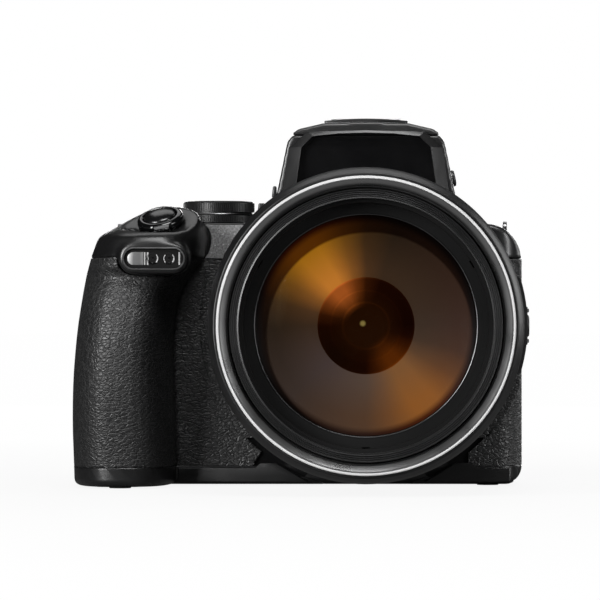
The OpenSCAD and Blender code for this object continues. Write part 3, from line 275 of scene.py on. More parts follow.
finishes = {
    "front_cover": (casingPlastic, 0.0), "rear_cover": (casingPlastic, 0.3), "top_cover": (casingPlastic,
                                                                                           0.0),
    "base_plate": (casingPlastic, 0.3), "grip_skin": (gripRubber, 0.0), "side_skin": (gripRubber, 0.25),
    "viewfinder_plate": (glossBlack, 0.15), "lamp_bezel": (brightTrim, 0.2), "lamp_window": (glossBlack,
                                                                                             0.1),
    "tripod_socket": (shadedSteel, 0.2), "rubber_feet": (softRubber, 0.15), "strap_eyelets": (satinMetal,
                                                                                              0.25),
    "accessory_shoe": (shadedSteel, 0.2), "lens_base": (barrelPaint, 0.3), "nose_ring": (barrelPaint, 0.3),
    "control_ring": (softRubber, 0.1), "mid_barrel": (barrelPaint, 0.2), "front_barrel": (barrelPaint,
                                                                                          0.15),
    # The trim ring is coloured white as a painted highlight of the lens's front edge
    "trim_ring": (paintedHighlightRing, 0.0), "filter_ring": (barrelPaint, 0.1), "lens_retainer": (controlPlastic,
                                                                                         0.1),
    "front_lens": (glossBlack, 0.0), "inner_lens_holder": (barrelPaint, 0.1), "inner_lens": (glossBlack,
                                                                                             0.0),
    "side_zoom_lever": (controlPlastic, 0.2), "snapback_button": (controlPlastic, 0.2),
    "shutter_button": (glossBlack, 0.2), "zoom_lever": (glossBlack, 0.2), "mode_dial": (controlPlastic,
                                                                                        0.12),
    "command_dial": (controlPlastic, 0.12), "power_button": (controlPlastic, 0.2),
    "function_button": (controlPlastic, 0.2), "record_button": (controlPlastic, 0.2),
    "flash_head": (casingPlastic, 0.4), "flash_window": (palePlastic,
                                                         0.1), "flash_button": (controlPlastic, 0.2),
    "eyecup": (softRubber, 0.0), "eyepiece_lens": (eyeGlass, 0.0), "diopter_knob": (controlPlastic, 0.15),
    "monitor_case": (casingPlastic, 0.4), "monitor_glass": (glossBlack,
                                                            0.1), "monitor_hinge": (controlPlastic, 0.2),
    "monitor_button": (controlPlastic, 0.2), "display_button": (controlPlastic, 0.2),
    "playback_button": (controlPlastic, 0.2), "menu_button": (controlPlastic, 0.2),
    "delete_button": (controlPlastic, 0.2), "multi_selector": (controlPlastic,
                                                               0.15), "ok_button": (controlPlastic, 0.2),
    "focus_selector": (controlPlastic, 0.2), "lock_button": (controlPlastic,
                                                             0.2), "thumb_pad": (softRubber, 0.15),
    "battery": (cellGrey, 0.3), "battery_box": (casingPlastic, 0.2), "battery_door": (casingPlastic, 0.2),
    "door_latch": (controlPlastic, 0.12), "connector_cover": (softRubber,
                                                              0.2), "connector_jacks": (shadedSteel, 0.15),
    "main_board": (boardGreen, 0.1), "image_sensor": (cellGrey, 0.1),
}
for name, (material, edge) in finishes.items():
    finishNode(name, material, edge)
print("stage: packed pieces finished", len(finishes))


# Shape helpers

def addPiece(name, shape, materials, body, replacing=(), sharp=34.0):
    bmesh.ops.recalc_face_normals(shape, faces=shape.faces)
    mesh = bpy.data.meshes.new(name)
    shape.to_mesh(mesh)
    shape.free()
    for material in materials:
        mesh.materials.append(material)
    for polygon in mesh.polygons:
        polygon.use_smooth = True
    mesh.set_sharp_from_angle(angle=math.radians(sharp))
    piece = bpy.data.objects.new(name, mesh)
    scene.collection.objects.link(piece)
    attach(piece, body)
    if replacing:
        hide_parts(*replacing)
    return piece


def turnedShape(profile, steps=180):
    shape = bmesh.new()
    ring = [shape.verts.new((r * mm, -d * mm, lensHeight * mm)) for r, d in profile]
    edges = [shape.edges.new((ring[i - 1], ring[i])) for i in range(len(ring))]
    bmesh.ops.spin(shape, geom=ring + edges, cent=lensCentre, axis=(0.0, 1.0, 0.0), angle=2 * math.pi,
                   steps=steps, use_merge=True, use_duplicate=False)
    bmesh.ops.remove_doubles(shape, verts=shape.verts, dist=1e-8)
    return shape


def addPrism(shape, points, along, edge=0.0, segments=2):
    corners = [shape.verts.new(Vector(point) * mm) for point in points]
    face = shape.faces.new(corners)
    made = bmesh.ops.extrude_face_region(shape, geom=[face])["geom"]
    moved = [v for v in made if isinstance(v, bmesh.types.BMVert)]
    bmesh.ops.translate(shape, verts=moved, vec=Vector(along) * mm)
    if edge > 0:
        rim = {e for v in moved + corners for e in v.link_edges}
        sharp = [e for e in rim if len(e.link_faces) == 2 and e.calc_face_angle(0.0) > 0.6]
        bmesh.ops.bevel(shape, geom=sharp, offset=edge * mm, offset_type="OFFSET", affect="EDGES",
                        segments=segments, profile=0.5, material=-1, clamp_overlap=True)
    return shape


def longHole(cx, cz, width, height, y, steps=12):
    points = []
    half, r = (width - height) / 2, height / 2
    for centre, start in ((cx + half, -90.0), (cx - half, 90.0)):
        for i in range(steps + 1):
            angle = math.radians(start + 180.0 * i / steps)
            points.append((centre + r * math.cos(angle), y, cz + r * math.sin(angle)))
    return points


def sweepRows(shape, rows, ring=True):
    line = [shape.verts.new(Vector(point) * mm) for point in rows[0]]
    spans = len(line) if ring else len(line) - 1
    edges = [shape.edges.new((line[i], line[(i + 1) % len(line)])) for i in range(spans)]
    for row in rows[1:]:
        made = bmesh.ops.extrude_edge_only(shape, edges=edges)["geom"]
        fresh = {item for item in made if isinstance(item, bmesh.types.BMVert)}
        edges = [item for item in made if isinstance(item, bmesh.types.BMEdge) and set(item.verts) <= fresh]
        line = [next(e.other_vert(v) for e in v.link_edges if e.other_vert(v) in fresh) for v in line]
        for vert, point in zip(line, row):
            vert.co = Vector(point) * mm
    return shape


def circleRow(cx, cz, r, y, steps=40):
    turns = [2 * math.pi * i / steps for i in range(steps)]
    return [(cx + r * math.cos(turn), y, cz + r * math.sin(turn)) for turn in turns]


def evenShape(nodeNames, voxel):
    shape = bmesh.new()
    for nodeName in nodeNames:
        shape.from_mesh(nodes[nodeName].data)
    bmesh.ops.remove_doubles(shape, verts=shape.verts, dist=0.00001)
    mesh = bpy.data.meshes.new("rough")
    shape.to_mesh(mesh)
    shape.free()
    holder = bpy.data.objects.new("rough", mesh)
    scene.collection.objects.link(holder)
    even = holder.modifiers.new("even", "REMESH")
    even.mode = "VOXEL"
    even.voxel_size = voxel * mm
    graph = bpy.context.evaluated_depsgraph_get()
    made = bmesh.new()
    made.from_mesh(holder.evaluated_get(graph).to_mesh())
    bpy.data.objects.remove(holder)
    bpy.data.meshes.remove(mesh)
    return made


def relax(shape, rounds, wanted):
    verts = [v for v in shape.verts if wanted(v.co / mm)]
    for turn in range(rounds):
        bmesh.ops.smooth_vert(shape, verts=verts, factor=0.5, use_axis_x=True, use_axis_y=True,
                              use_axis_z=True)
    return shape


# Casing

def addTopShell():
    size = {"voxel": 0.7, "seam": 73.0, "hold": 0.9, "gripSide": -40.0, "gripFront": -24.0, "farSide": 36.0,
            "lampLeft": -78.5, "lampFront": -52.0, "capSeam": 111.8, "capBack": -14.0}

    def clearOfSeam(at):
        if abs(at.z - size["capSeam"]) < size["hold"] and at.y < size["capBack"]:
            return False
        return at.z > size["seam"] + size["hold"] or (at.y < size["lampFront"] and at.x > size["lampLeft"])

    def onFarSide(at):
        return clearOfSeam(at) and at.x > size["farSide"]

    def onShoulder(at):
        return clearOfSeam(at) and at.x < size["gripSide"] and at.y < size["gripFront"]

    shape = evenShape(["top_cover"], size["voxel"])
    relax(shape, 3, clearOfSeam)
    relax(shape, 16, onShoulder)
    relax(shape, 8, onFarSide)
    return addPiece("topShell", shape, [casingPlastic], "camera_body", ["top_cover"], 80.0)


addTopShell()


def addLowerShell(name, nodeName):
    size = {"foot": 0.5, "edge": 6.5, "round": 2.0, "lean": 0.03, "caseSeam": 10.0}
    shape = bmesh.new()
    shape.from_mesh(nodes[nodeName].data)
    bmesh.ops.remove_doubles(shape, verts=shape.verts, dist=0.00001)
    for share in (0.06, 0.2, 0.4, 0.65, 1.0, 1.15, 2.8):
        level = (size["foot"] + size["round"] * share) * mm
        everything = shape.verts[:] + shape.edges[:] + shape.faces[:]
        bmesh.ops.bisect_plane(shape, geom=everything, dist=1e-7, plane_co=(0.0, 0.0, level),
                               plane_no=(0.0, 0.0, 1.0))
    shape.normal_update()
    tree = BVHTree.FromBMesh(shape)
    moves = []
    for vert in shape.verts:
        height = vert.co.z / mm
        out = Vector((vert.normal.x, vert.normal.y, 0.0))
        if abs(vert.co.y / mm - size["caseSeam"]) < 0.3:
            out.y = 0.0
        if height > size["edge"] - 0.05 or out.length < 0.2:
            continue
        out.normalize()
        if tree.ray_cast(vert.co + out * 0.0003, out)[0] is not None:
            continue
        below = max(0.0, size["foot"] + size["round"] - height)
        inset = size["round"] - math.sqrt(max(0.0, size["round"] ** 2 - below ** 2))
        inset += size["lean"] * (size["edge"] - height)
        moves.append((vert, out * -inset * mm))
    for vert, move in moves:
        vert.co += move
    return addPiece(name, shape, [casingPlastic], "camera_body", [nodeName], 32.0)


addLowerShell("frontShell", "front_cover")
addLowerShell("rearShell", "rear_cover")


def addGripSkin():
    size = {"voxel": 0.5, "right": -58.0, "front": -36.0, "low": 7.4, "high": 72.2, "valleyLow": 7.6,
            "valleyHigh": 71.8}
    swells = ((70.0, 1.4, -0.5), (66.2, 1.9, 0.8), (61.0, 2.6, -0.35))
    shape = evenShape(["grip_skin"], size["voxel"])
    relax(shape, 3, lambda at: size["low"] < at.z < size["high"])

    def inValley(at):
        return size["valleyLow"] < at.z < size["valleyHigh"] and -67.0 < at.x < -50.0 and -38.0 < at.y < -22.0

    relax(shape, 40, inValley)
    inward = Vector((0.3, 1.0, 0.0)).normalized()
    for vert in shape.verts:
        at = vert.co / mm
        if at.x > size["right"] or at.y > size["front"]:
            continue
        fade = min(1.0, (size["right"] - at.x) / 4.0) * min(1.0, (size["front"] - at.y) / 8.0)
        depth = sum(push * math.exp(-((at.z - level) / spread) ** 2) for level, spread, push in swells)
        vert.co += inward * depth * fade * mm
    return addPiece("gripCover", shape, [gripRubber], "camera_body", ["grip_skin"], 60.0)


addGripSkin()


def addSkinCollar():
    size = {"inner": 49.1, "outer": 53.2, "front": 25.0, "back": 24.3, "low": 15.5, "high": 72.9,
            "side": 49.4}
    shape = turnedShape([(size["inner"], size["front"] - 0.2), (size["inner"] + 0.2, size["front"]),
                         (size["outer"], size["front"]), (size["outer"], size["back"]), (size["inner"],
                                                                                         size["back"])])
    cuts = (((0.0, 0.0, size["low"]), (0.0, 0.0, -1.0)), ((0.0, 0.0, size["high"]), (0.0, 0.0, 1.0)),
            ((size["side"], 0.0, 0.0), (1.0, 0.0, 0.0)))
    for place, facing in cuts:
        everything = shape.verts[:] + shape.edges[:] + shape.faces[:]
        bmesh.ops.bisect_plane(shape, geom=everything, dist=1e-7, plane_co=Vector(place) * mm,
                               plane_no=facing,
                               clear_outer=True)
    return addPiece("skinCollar", shape, [gripRubber], "camera_body")


addSkinCollar()


def addFrontStrips():
    size = {"low": 1.15, "ledge": 5.9, "top": 7.4, "foot": -26.0, "head": -25.35}
    slope = (size["head"] - size["foot"]) / (size["top"] - size["low"])
    shape = bmesh.new()
    for side, far in ((-1.0, 60.5), (1.0, 46.5)):
        outline = [(far, size["low"]), (18.4, size["low"]), (29.0, size["top"]), (34.0, size["top"]),
                   (35.6, size["ledge"]), (far, size["ledge"])]
        corners = [(side * x, size["foot"] + slope * (z - size["low"]), z) for x, z in outline]
        addPrism(shape, corners, (0.0, 1.2, 0.0), 0.35, 3)
    return addPiece("frontStrips", shape, [casingPlastic], "camera_body")


addFrontStrips()


def crinklePaint():
    material, tree, shader = newMaterial("crinklePaint")
    point = objectPoint(tree)
    wrinkle = noiseValue(tree, point, 1500.0, 4.0, 0.65)
    specks = cellValue(tree, point, 800.0)
    spark = stretchValue(tree, specks, 0.17, 0.05, 0.0, 1.0)
    ground = rampColour(tree, wrinkle, [(0.35, (0.1, 0.1, 0.101)), (0.65, (0.3, 0.3, 0.301))])
    tree.links.new(mixColour(tree, spark, ground, (0.75, 0.75, 0.75)), shader.inputs["Base Color"])
    tree.links.new(stretchValue(tree, wrinkle, 0.3, 0.7, 0.75, 0.5), shader.inputs["Roughness"])
    tree.links.new(bumpNormal(tree, wrinkle, 0.8, 0.00012), shader.inputs["Normal"])
    return material


def addCrinklePanel():
    size = {"left": -58.0, "right": -30.0, "bottom": 73.1, "top": 83.9, "front": -25.35, "thick": 0.6}
    left, right, y = size["left"], size["right"], size["front"]
    corners = [(left, y, size["bottom"]), (right, y, size["bottom"]), (right, y, size["top"]),
               (left, y, size["top"])]
    shape = addPrism(bmesh.new(), corners, (0.0, size["thick"], 0.0), 0.25, 3)
    return addPiece("crinklePanel", shape, [crinklePaint()], "camera_body")


addCrinklePanel()


# Hump: a bevelled frame round the glossy plate, the lifting cap, and the stop in front of the shoe

def addHumpFrame():
    size = {"lip": -52.4, "foot": -53.4, "bend": 100.0, "slant": -50.05, "corner": -51.3, "brow": -51.95,
            "root": -49.6, "edge": 0.12}
    inner = [(-22.3, 94.4), (-20.4, 108.0), (-16.9, 111.35), (-8.5, 112.2), (0.0, 112.45), (8.5, 112.2),
             (16.9, 111.35), (20.4, 108.0), (22.3, 94.4)]
    outer = [(-26.6, 92.2), (-24.4, 107.9), (-18.4, 113.0), (-9.0, 113.1), (0.0, 113.35), (9.0, 113.1),
             (18.4, 113.0), (24.4, 107.9), (26.6, 92.2)]
    side = [size["slant"], size["slant"], size["corner"]]
    depths = side + [size["brow"]] * 3 + side[::-1]
    rows = [[(x, -49.9, z) for x, z in inner], [(x, size["foot"] if z < size["bend"] else size["lip"],
                                                 z) for x, z in inner],
            [(x, y, z) for (x, z), y in zip(outer, depths)], [(x, size["root"], z) for x, z in outer]]
    shape = sweepRows(bmesh.new(), rows, ring=False)
    ridges = [e for e in shape.edges if len(e.link_faces) == 2 and e.calc_face_angle(0.0) > 0.15]
    bmesh.ops.bevel(shape, geom=ridges, offset=size["edge"] * mm, offset_type="OFFSET", affect="EDGES",
                    segments=2,
                    profile=0.5, material=-1, clamp_overlap=True)
    return addPiece("humpFrame", shape, [casingPlastic], "camera_body", sharp=12.0)


addHumpFrame()


def addFlashCap():
    size = {"voxel": 0.5, "seam": 111.8, "front": -46.0, "lean": 0.2, "flare": 0.045, "crown": 115.9,
            "skirt": 0.35, "skirtTop": 0.7, "hold": 1.1}
    shape = evenShape(["flash_head"], size["voxel"])
    relax(shape, 5, lambda at: at.z > size["seam"] + size["hold"])
    for vert in shape.verts:
        at = vert.co / mm
        if at.y < size["front"] and at.z > size["seam"]:
            share = min(1.0, (size["front"] - at.y) / 2.0)
            vert.co.y += share * size["lean"] * (at.z - size["seam"]) * mm
        if at.z > size["seam"]:
            share = max(0.0, (size["crown"] - at.z) / (size["crown"] - size["seam"]))
            vert.co.x *= 1.0 + size["flare"] * share
            if at.z < size["seam"] + size["skirtTop"]:
                vert.co.z -= size["skirt"] * mm
    return addPiece("flashCap", shape, [casingPlastic], "flash", ["flash_head"], 50.0)


addFlashCap()


def addHumpLumps():
    shape = bmesh.new()
    for left, right, low, high, front in ((-30.2, -28.6, 92.5, 96.2, -33.0),
                                          (-35.3, -32.8, 88.0, 91.3, -12.0)):
        corners = [(left, front, low), (right, front, low), (right, front, high), (left + 0.4, front, high)]
        addPrism(shape, corners, (0.0, 3.4, 0.0), 0.45, 3)
    return addPiece("humpLumps", shape, [controlPlastic], "camera_body")


addHumpLumps()


def addShoeStop():
    size = {"half": 13.5, "front": -12.9, "deep": 1.9, "bottom": 115.6, "rise": 118.0, "crown": 118.75}
    half = size["half"]
    corners = [(-half, size["front"], size["bottom"]), (half, size["front"], size["bottom"])]
    for i in range(13):
        x = half - 2 * half * i / 12
        z = size["rise"] + (size["crown"] - size["rise"]) * (1 - (x / half) ** 2)
        corners.append((x, size["front"], z))
    shape = addPrism(bmesh.new(), corners, (0.0, size["deep"], 0.0), 0.2, 2)
    return addPiece("shoeStop", shape, [casingPlastic], "camera_body")


addShoeStop()
print("stage: casing pieces")


# Controls on the top

def knurlOutline(radius, depth, count, z):
    points = []
    for i in range(4 * count):
        turn = 2 * math.pi * i / (4 * count)
        r = radius if i % 4 < 2 else radius - depth
        points.append((r * math.cos(turn), r * math.sin(turn), z))
    return points


def spunShape(profile, steps, shape=None):
    shape = shape or bmesh.new()
    ring = [shape.verts.new((r * mm, 0.0, z * mm)) for r, z in profile]
    edges = [shape.edges.new((ring[i - 1], ring[i])) for i in range(len(ring))]
    bmesh.ops.spin(shape, geom=ring + edges, cent=(0.0, 0.0, 0.0), axis=(0.0, 0.0, 1.0), angle=2 * math.pi,
                   steps=steps, use_merge=True, use_duplicate=False)
    return shape


def addModeDial():
    size = {"x": -48.2, "y": 2.0, "base": 84.5, "radius": 11.7, "ribs": 112, "depth": 0.3}
    radius = size["radius"]
    shape = bmesh.new()
    for low, high in ((0.6, 2.9), (4.1, 7.0)):
        addPrism(shape, knurlOutline(radius, size["depth"], size["ribs"], low), (0.0, 0.0, high - low))
    crown = [(3.0, 6.9), (radius - 0.2, 6.9), (radius - 0.15, 7.15), (radius - 0.45, 7.5),
             (radius - 1.1, 7.68),
             (radius - 2.2, 7.7), (3.0, 7.7), (0.4, 7.7), (0.4, 6.9)]
    spunShape(crown, 120, shape)
    spunShape([(2.9, -3.0), (radius - 1.0, 2.0), (radius - 0.7, 2.8), (radius - 0.7, 4.2), (2.9, 4.4)],
              120, shape)
    bmesh.ops.translate(shape, verts=shape.verts, vec=Vector((size["x"], size["y"], size["base"])) * mm)
    addPiece("modeDial", shape, [controlPlastic], "mode_dial", ["mode_dial"], 25.0)
    line = spunShape([(radius - 0.8, 3.2), (radius - 0.3, 3.2), (radius - 0.2, 3.4), (radius - 0.3, 3.6),
                      (radius - 0.8, 3.6)], 120)
    bmesh.ops.translate(line, verts=line.verts, vec=Vector((size["x"], size["y"], size["base"])) * mm)
    addPiece("modeDialLine", line, [satinMetal], "mode_dial")


addModeDial()


def leanShape(shape):
    lean = Matrix.Translation(Vector((-65.0, -44.0, 83.7)) * mm) @ Matrix.Rotation(math.radians(-11.0), 4,
                                                                                   "Y")
    lean = lean @ Matrix.Rotation(math.radians(27.0), 4, "X")
    bmesh.ops.transform(shape, matrix=lean, verts=shape.verts)
    return shape


def addZoomLever():
    size = {"bore": 5.45, "radius": 7.45, "tabHalf": 2.9, "tabFront": -10.3, "ribs": 4}
    profile = [(size["bore"], 0.4), (6.9, 0.4), (7.35, 0.8), (size["radius"], 1.6), (7.3, 2.4), (6.85, 3.0),
               (6.3, 3.25), (5.8, 3.2), (size["bore"], 2.9)]
    shape = spunShape(profile, 96)
    half, front = size["tabHalf"], size["tabFront"]
    plan = [(-half, -6.6, 0.5), (-half + 0.5, front + 0.3, 0.5), (half - 0.5, front + 0.3, 0.5),
            (half, -6.6, 0.5)]
    addPrism(shape, plan, (0.0, 0.0, 2.5), 0.45, 3)
    for i in range(size["ribs"]):
        x = (i - (size["ribs"] - 1) / 2) * 1.15
        rib = [(x - 0.32, front + 0.9, 0.7), (x, front - 0.1, 0.7), (x + 0.32, front + 0.9, 0.7)]
        addPrism(shape, rib, (0.0, 0.0, 2.1))
    return addPiece("zoomLever", leanShape(shape), [glossBlack], "zoom_ring", ["zoom_lever"])


def addShutterCap():
    profile = [(0.05, 4.45), (1.4, 4.42), (2.8, 4.25), (4.0, 3.9), (4.75, 3.5), (5.05, 3.05), (5.1, 2.4),
               (5.1, 0.6),
               (3.0, 0.4), (0.05, 0.4)]
    return addPiece("shutterCap", leanShape(spunShape(profile, 96)), [buttonBlack], "shutter",
                    ["shutter_button"])


addZoomLever()
addShutterCap()
print("stage: top controls")


# Focus lamp in the grip

def lampPaint():
    material, tree, shader = newMaterial("lampPaint")
    split = tree.nodes.new("ShaderNodeSeparateXYZ")
    tree.links.new(objectPoint(tree), split.inputs["Vector"])
    across = stretchValue(tree, split.outputs["X"], -0.075, -0.0699, 0.0, 1.0)
    ribs = noiseValue(tree, objectPoint(tree, (1.0, 1.0, 0.25)), 900.0, 2.0, 0.5)
    tone = mathValue(tree, "ADD", across, mathValue(tree, "MULTIPLY", ribs, 0.08))
    stops = [(0.08, (0.42, 0.42, 0.42)), (0.24, (0.3, 0.3, 0.3)), (0.42, (0.11, 0.11, 0.111)),
             (0.8, (0.1, 0.1, 0.101)), (1.0, (0.17, 0.17, 0.17))]
    tree.links.new(rampColour(tree, tone, stops), shader.inputs["Base Color"])
    shader.inputs["Roughness"].default_value = 0.25
    return material


def addLamp():
    size = {"x": -66.7, "z": 72.6, "width": 19.8, "height": 7.2, "front": -61.7, "back": -60.9}
    rows = []
    for inset, y in ((0.0, size["back"]), (0.0, size["front"] + 0.25), (0.15, size["front"]),
                     (0.42, size["front"]),
                     (0.55, size["front"] + 0.2), (0.55, size["back"] + 0.4)):
        rows.append(longHole(size["x"], size["z"], size["width"] - 2 * inset, size["height"] - 2 * inset,
                             y))
    addPiece("lampRim", sweepRows(bmesh.new(), rows), [satinMetal], "camera_body", ["lamp_bezel"])
    bed = addPrism(bmesh.new(), longHole(size["x"], size["z"], 18.6, 6.0, size["back"] + 0.1),
                   (0.0, 1.2, 0.0))
    addPiece("lampBed", bed, [flatBlack], "camera_body", ["lamp_window"])
    y = size["back"] - 0.05
    corners = [(-69.95, y, 70.55), (-69.95, y, 74.65)]
    for i in range(13):
        turn = math.radians(90.0 + 15.0 * i)
        corners.append((-73.1 + 1.9 * math.cos(turn), y, 72.6 + 2.05 * math.sin(turn)))
    lamp = addPrism(bmesh.new(), corners, (0.0, 0.4, 0.0), 0.2)
    addPiece("lampCell", lamp, [lampPaint()], "camera_body")
    bars = bmesh.new()
    for x, width in ((-69.75, 0.45), (-68.85, 0.5), (-58.9, 0.5)):
        addPrism(bars, [(x, y, 70.6), (x + width, y, 70.6), (x + width, y, 74.6), (x, y, 74.6)],
                 (0.0, 0.3, 0.0))
    addPiece("lampBars", bars, [palePlastic], "camera_body")
    rings = bmesh.new()
    for cx in (-67.0, -61.9):
        cup = [circleRow(cx, size["z"], r, y + depth) for r, depth in
               ((1.85, 0.3), (1.85, 0.0), (1.6, 0.0), (1.1, 0.3), (0.5, 0.25), (0.42, 0.05), (0.1, 0.0))]
        sweepRows(rings, cup)
    addPiece("lampRings", rings, [glossBlack], "camera_body")
    glints = bmesh.new()
    for cx, side in ((-67.0, 1.0), (-61.9, 1.0), (-61.9, -1.0)):
        outline = []
        for r, first, last in ((1.75, -50.0, 50.0), (1.45, 42.0, -42.0)):
            for i in range(9):
                turn = math.radians(first + (last - first) * i / 8)
                outline.append((cx + side * r * math.cos(turn), y - 0.02, size["z"] + r * math.sin(turn)))
        addPrism(glints, outline, (0.0, 0.1, 0.0))
    addPiece("lampGlints", glints, [palePlastic], "camera_body")


addLamp()
print("stage: focus lamp")


# Lens

def toneBetween(first, second, share):
    return tuple(a + (b - a) * share for a, b in zip(first, second))


# Turns run from the left of the lens, by its foot, to the left again. The stops are painted reflections: the
# low fan is the orange reflection at the lower right, the high fan the gold reflection at the upper left
def paintedReflectionStops(dusk, violet, brown, rose, low, high):
    size = {"violet": 0.12, "brown": 0.25, "rose": 0.5, "dusk": 0.7, "low": 0.355, "high": 0.855, "core": 0.02,
            "edge": 0.065, "skirt": 0.103, "edgeShare": 0.36, "skirtShare": 0.06}

    def fan(middle, tone, before, after):
        return [(middle - size["edge"], toneBetween(before, tone, size["edgeShare"])),
                (middle - size["core"], tone), (middle + size["core"], tone),
                (middle + size["edge"], toneBetween(after, tone, size["edgeShare"])),
                (middle + size["skirt"], toneBetween(after, tone, size["skirtShare"]))]

    ground = [(0.0, dusk), (size["violet"], violet), (size["brown"], brown)]
    upper = [(size["rose"], rose), (size["dusk"], dusk),
             (size["high"] - size["skirt"], toneBetween(dusk, high, size["skirtShare"]))]
    lowFan = fan(size["low"], low, brown, rose)
    highFan = fan(size["high"], high, dusk, dusk)
    return ground + lowFan + upper + highFan + [(1.0, dusk)]


# Painted reflections in the lens: the colour sweeps stand for light reflected in the glass surfaces, and the
# emission makes them glow though nothing there is a lamp
def paintedReflectionPaint(name, inner):
    material, tree, shader = newMaterial(name)
    coords = tree.nodes.new("ShaderNodeTexCoord")
    split = tree.nodes.new("ShaderNodeSeparateXYZ")
    tree.links.new(coords.outputs["Object"], split.inputs["Vector"])
    x = mathValue(tree, "MULTIPLY", split.outputs["X"], 1000.0)
    z = mathValue(tree, "SUBTRACT", mathValue(tree, "MULTIPLY", split.outputs["Z"], 1000.0), lensHeight)

    def away(cx, cz):
        dx = mathValue(tree, "SUBTRACT", x, cx)
        dz = mathValue(tree, "SUBTRACT", z, cz)
        squares = mathValue(tree, "ADD", mathValue(tree, "MULTIPLY", dx, dx),
                            mathValue(tree, "MULTIPLY", dz, dz))
        return mathValue(tree, "SQRT", squares)

    def shade(factor, colour, tone):
        node = tree.nodes.new("ShaderNodeMix")
        node.data_type = "RGBA"
        node.blend_type = "MULTIPLY"
        for socket, value in ((node.inputs[0], factor), (node.inputs[6], colour), (node.inputs[7], tone)):
            if isinstance(value, float):
                socket.default_value = value
            elif isinstance(value, tuple):
                socket.default_value = (*value, 1.0)
            else:
                tree.links.new(value, socket)
        return node.outputs[2]

    turn = mathValue(tree, "DIVIDE", mathValue(tree, "ADD", mathValue(tree, "ARCTAN2", z, x), math.pi),
                     2 * math.pi)
    haze = mathValue(tree, "SUBTRACT", noiseValue(tree, coords.outputs["Object"], 55.0, 3.0, 0.6), 0.5)
    turn = mathValue(tree, "FRACT", mathValue(tree, "ADD", turn, mathValue(tree, "MULTIPLY", haze, 0.02)))
    reach = away(0.0, 0.0)
    if inner:
        stops = paintedReflectionStops(dusk=(0.008, 0.0016, 0.0003), violet=(0.005, 0.0014, 0.0003),
                         brown=(0.008, 0.0016, 0.0003), rose=(0.005, 0.0008, 0.0003),
                         low=(0.075, 0.016, 0.0011), high=(0.32, 0.076, 0.012))
        # Painted reflection sweep round the inner lens, fading to dark towards its centre
        sweep = rampColour(tree, turn, stops)
        final = mixColour(tree, stretchValue(tree, reach, 5.5, 12.0, 0.0, 1.0), (0.012, 0.0032, 0.0004),
                          sweep)
        # Painted highlights: the brighter rings stand for light caught on the edges of the inner elements
        plain, line = (0.62, 0.62, 0.62), (1.0, 1.0, 1.0)
        rings = [(0.0, plain), (0.43, plain), (0.465, line), (0.5, plain), (0.68, plain),
                 (0.705, (0.8, 0.8, 0.8)),
                 (0.73, plain), (0.93, plain), (0.965, line)]
        final = shade(1.0, final, rampColour(tree, mathValue(tree, "DIVIDE", reach, 15.5), rings))
        # Painted highlight: a small bright spot stands for a reflected light near the centre
        spark = stretchValue(tree, away(-1.0, 0.7), 0.45, 1.1, 1.0, 0.0)
        final = mixColour(tree, spark, final, (0.12, 0.09, 0.025))
        glow = 1.55
    else:
        near = paintedReflectionStops(dusk=(0.035, 0.019, 0.01), violet=(0.048, 0.033, 0.03), brown=(0.073, 0.047, 0.034),
                        rose=(0.035, 0.02, 0.012), low=(0.17, 0.074, 0.024), high=(0.47, 0.165, 0.022))
        farther = paintedReflectionStops(dusk=(0.0175, 0.0103, 0.0055), violet=(0.037, 0.025, 0.02),
                           brown=(0.07, 0.035, 0.018),
                           rose=(0.036, 0.0165, 0.0105), low=(0.22, 0.078, 0.015), high=(0.31, 0.125, 0.006))
        blend = stretchValue(tree, reach, 17.0, 28.0, 0.0, 1.0)
        final = mixColour(tree, blend, rampColour(tree, turn, near), rampColour(tree, turn, farther))
        # Painted shade: the dark crescent towards the top and the darker rim stand for shade inside the lens
        final = shade(stretchValue(tree, away(1.13, -2.9), 31.0, 31.7, 0.0, 1.0), final, (0.25, 0.17, 0.12))
        final = shade(stretchValue(tree, reach, 31.2, 33.0, 0.0, 1.0), final, (0.2, 0.11, 0.07))
        glow = 0.92
    # The painted colour goes mostly into emission, so the painted reflections glow
    tree.links.new(mixColour(tree, 0.92, final, (0.0, 0.0, 0.0)), shader.inputs["Base Color"])
    tree.links.new(final, shader.inputs["Emission Color"])
    shader.inputs["Emission Strength"].default_value = glow
    shader.inputs["Roughness"].default_value = 0.4
    shader.inputs["Specular IOR Level"].default_value = 0.02
    return material


def clearGlass(name, tint, alpha):
    material, tree, shader = newMaterial(name)
    point = objectPoint(tree)
    film = noiseValue(tree, point, 30.0, 3.0, 0.6)
    tree.links.new(rampColour(tree, film, [(0.3, tint), (0.7, tuple(0.9 * v for v in tint))]),
                   shader.inputs["Base Color"])
    shader.inputs["Metallic"].default_value = 0.9
    shader.inputs["Roughness"].default_value = 0.06
    shader.inputs["Alpha"].default_value = alpha
    return material


frontGlass = clearGlass("frontGlass", (0.95, 0.72, 0.45), 0.0006)
nodes["front_lens"].data.materials[0] = frontGlass


# A lens element that carries the painted reflections of the lens
def addPaintedReflectionElement():
    size = {"outer": 33.55, "front": 103.5, "hole": 14.9, "deep": 97.5, "thick": 1.2}
    profile = []
    steps = 14
    for i in range(steps + 1):
        r = size["outer"] + (size["hole"] - size["outer"]) * i / steps
        share = (size["outer"] - r) / (size["outer"] - size["hole"])
        profile.append((r, size["front"] + (size["deep"] - size["front"]) * share ** 0.85))
    back = [(r, d - size["thick"]) for r, d in reversed(profile)]
    shape = turnedShape(profile + back)
    return addPiece("paintedReflectionElement", shape, [paintedReflectionPaint("amberPaintedReflection", False)], "lens_head")


addPaintedReflectionElement()
nodes["inner_lens"].data.materials[0] = paintedReflectionPaint("innerPaintedReflection", True)
nodes["inner_lens_holder"].data.materials[0] = flatBlack


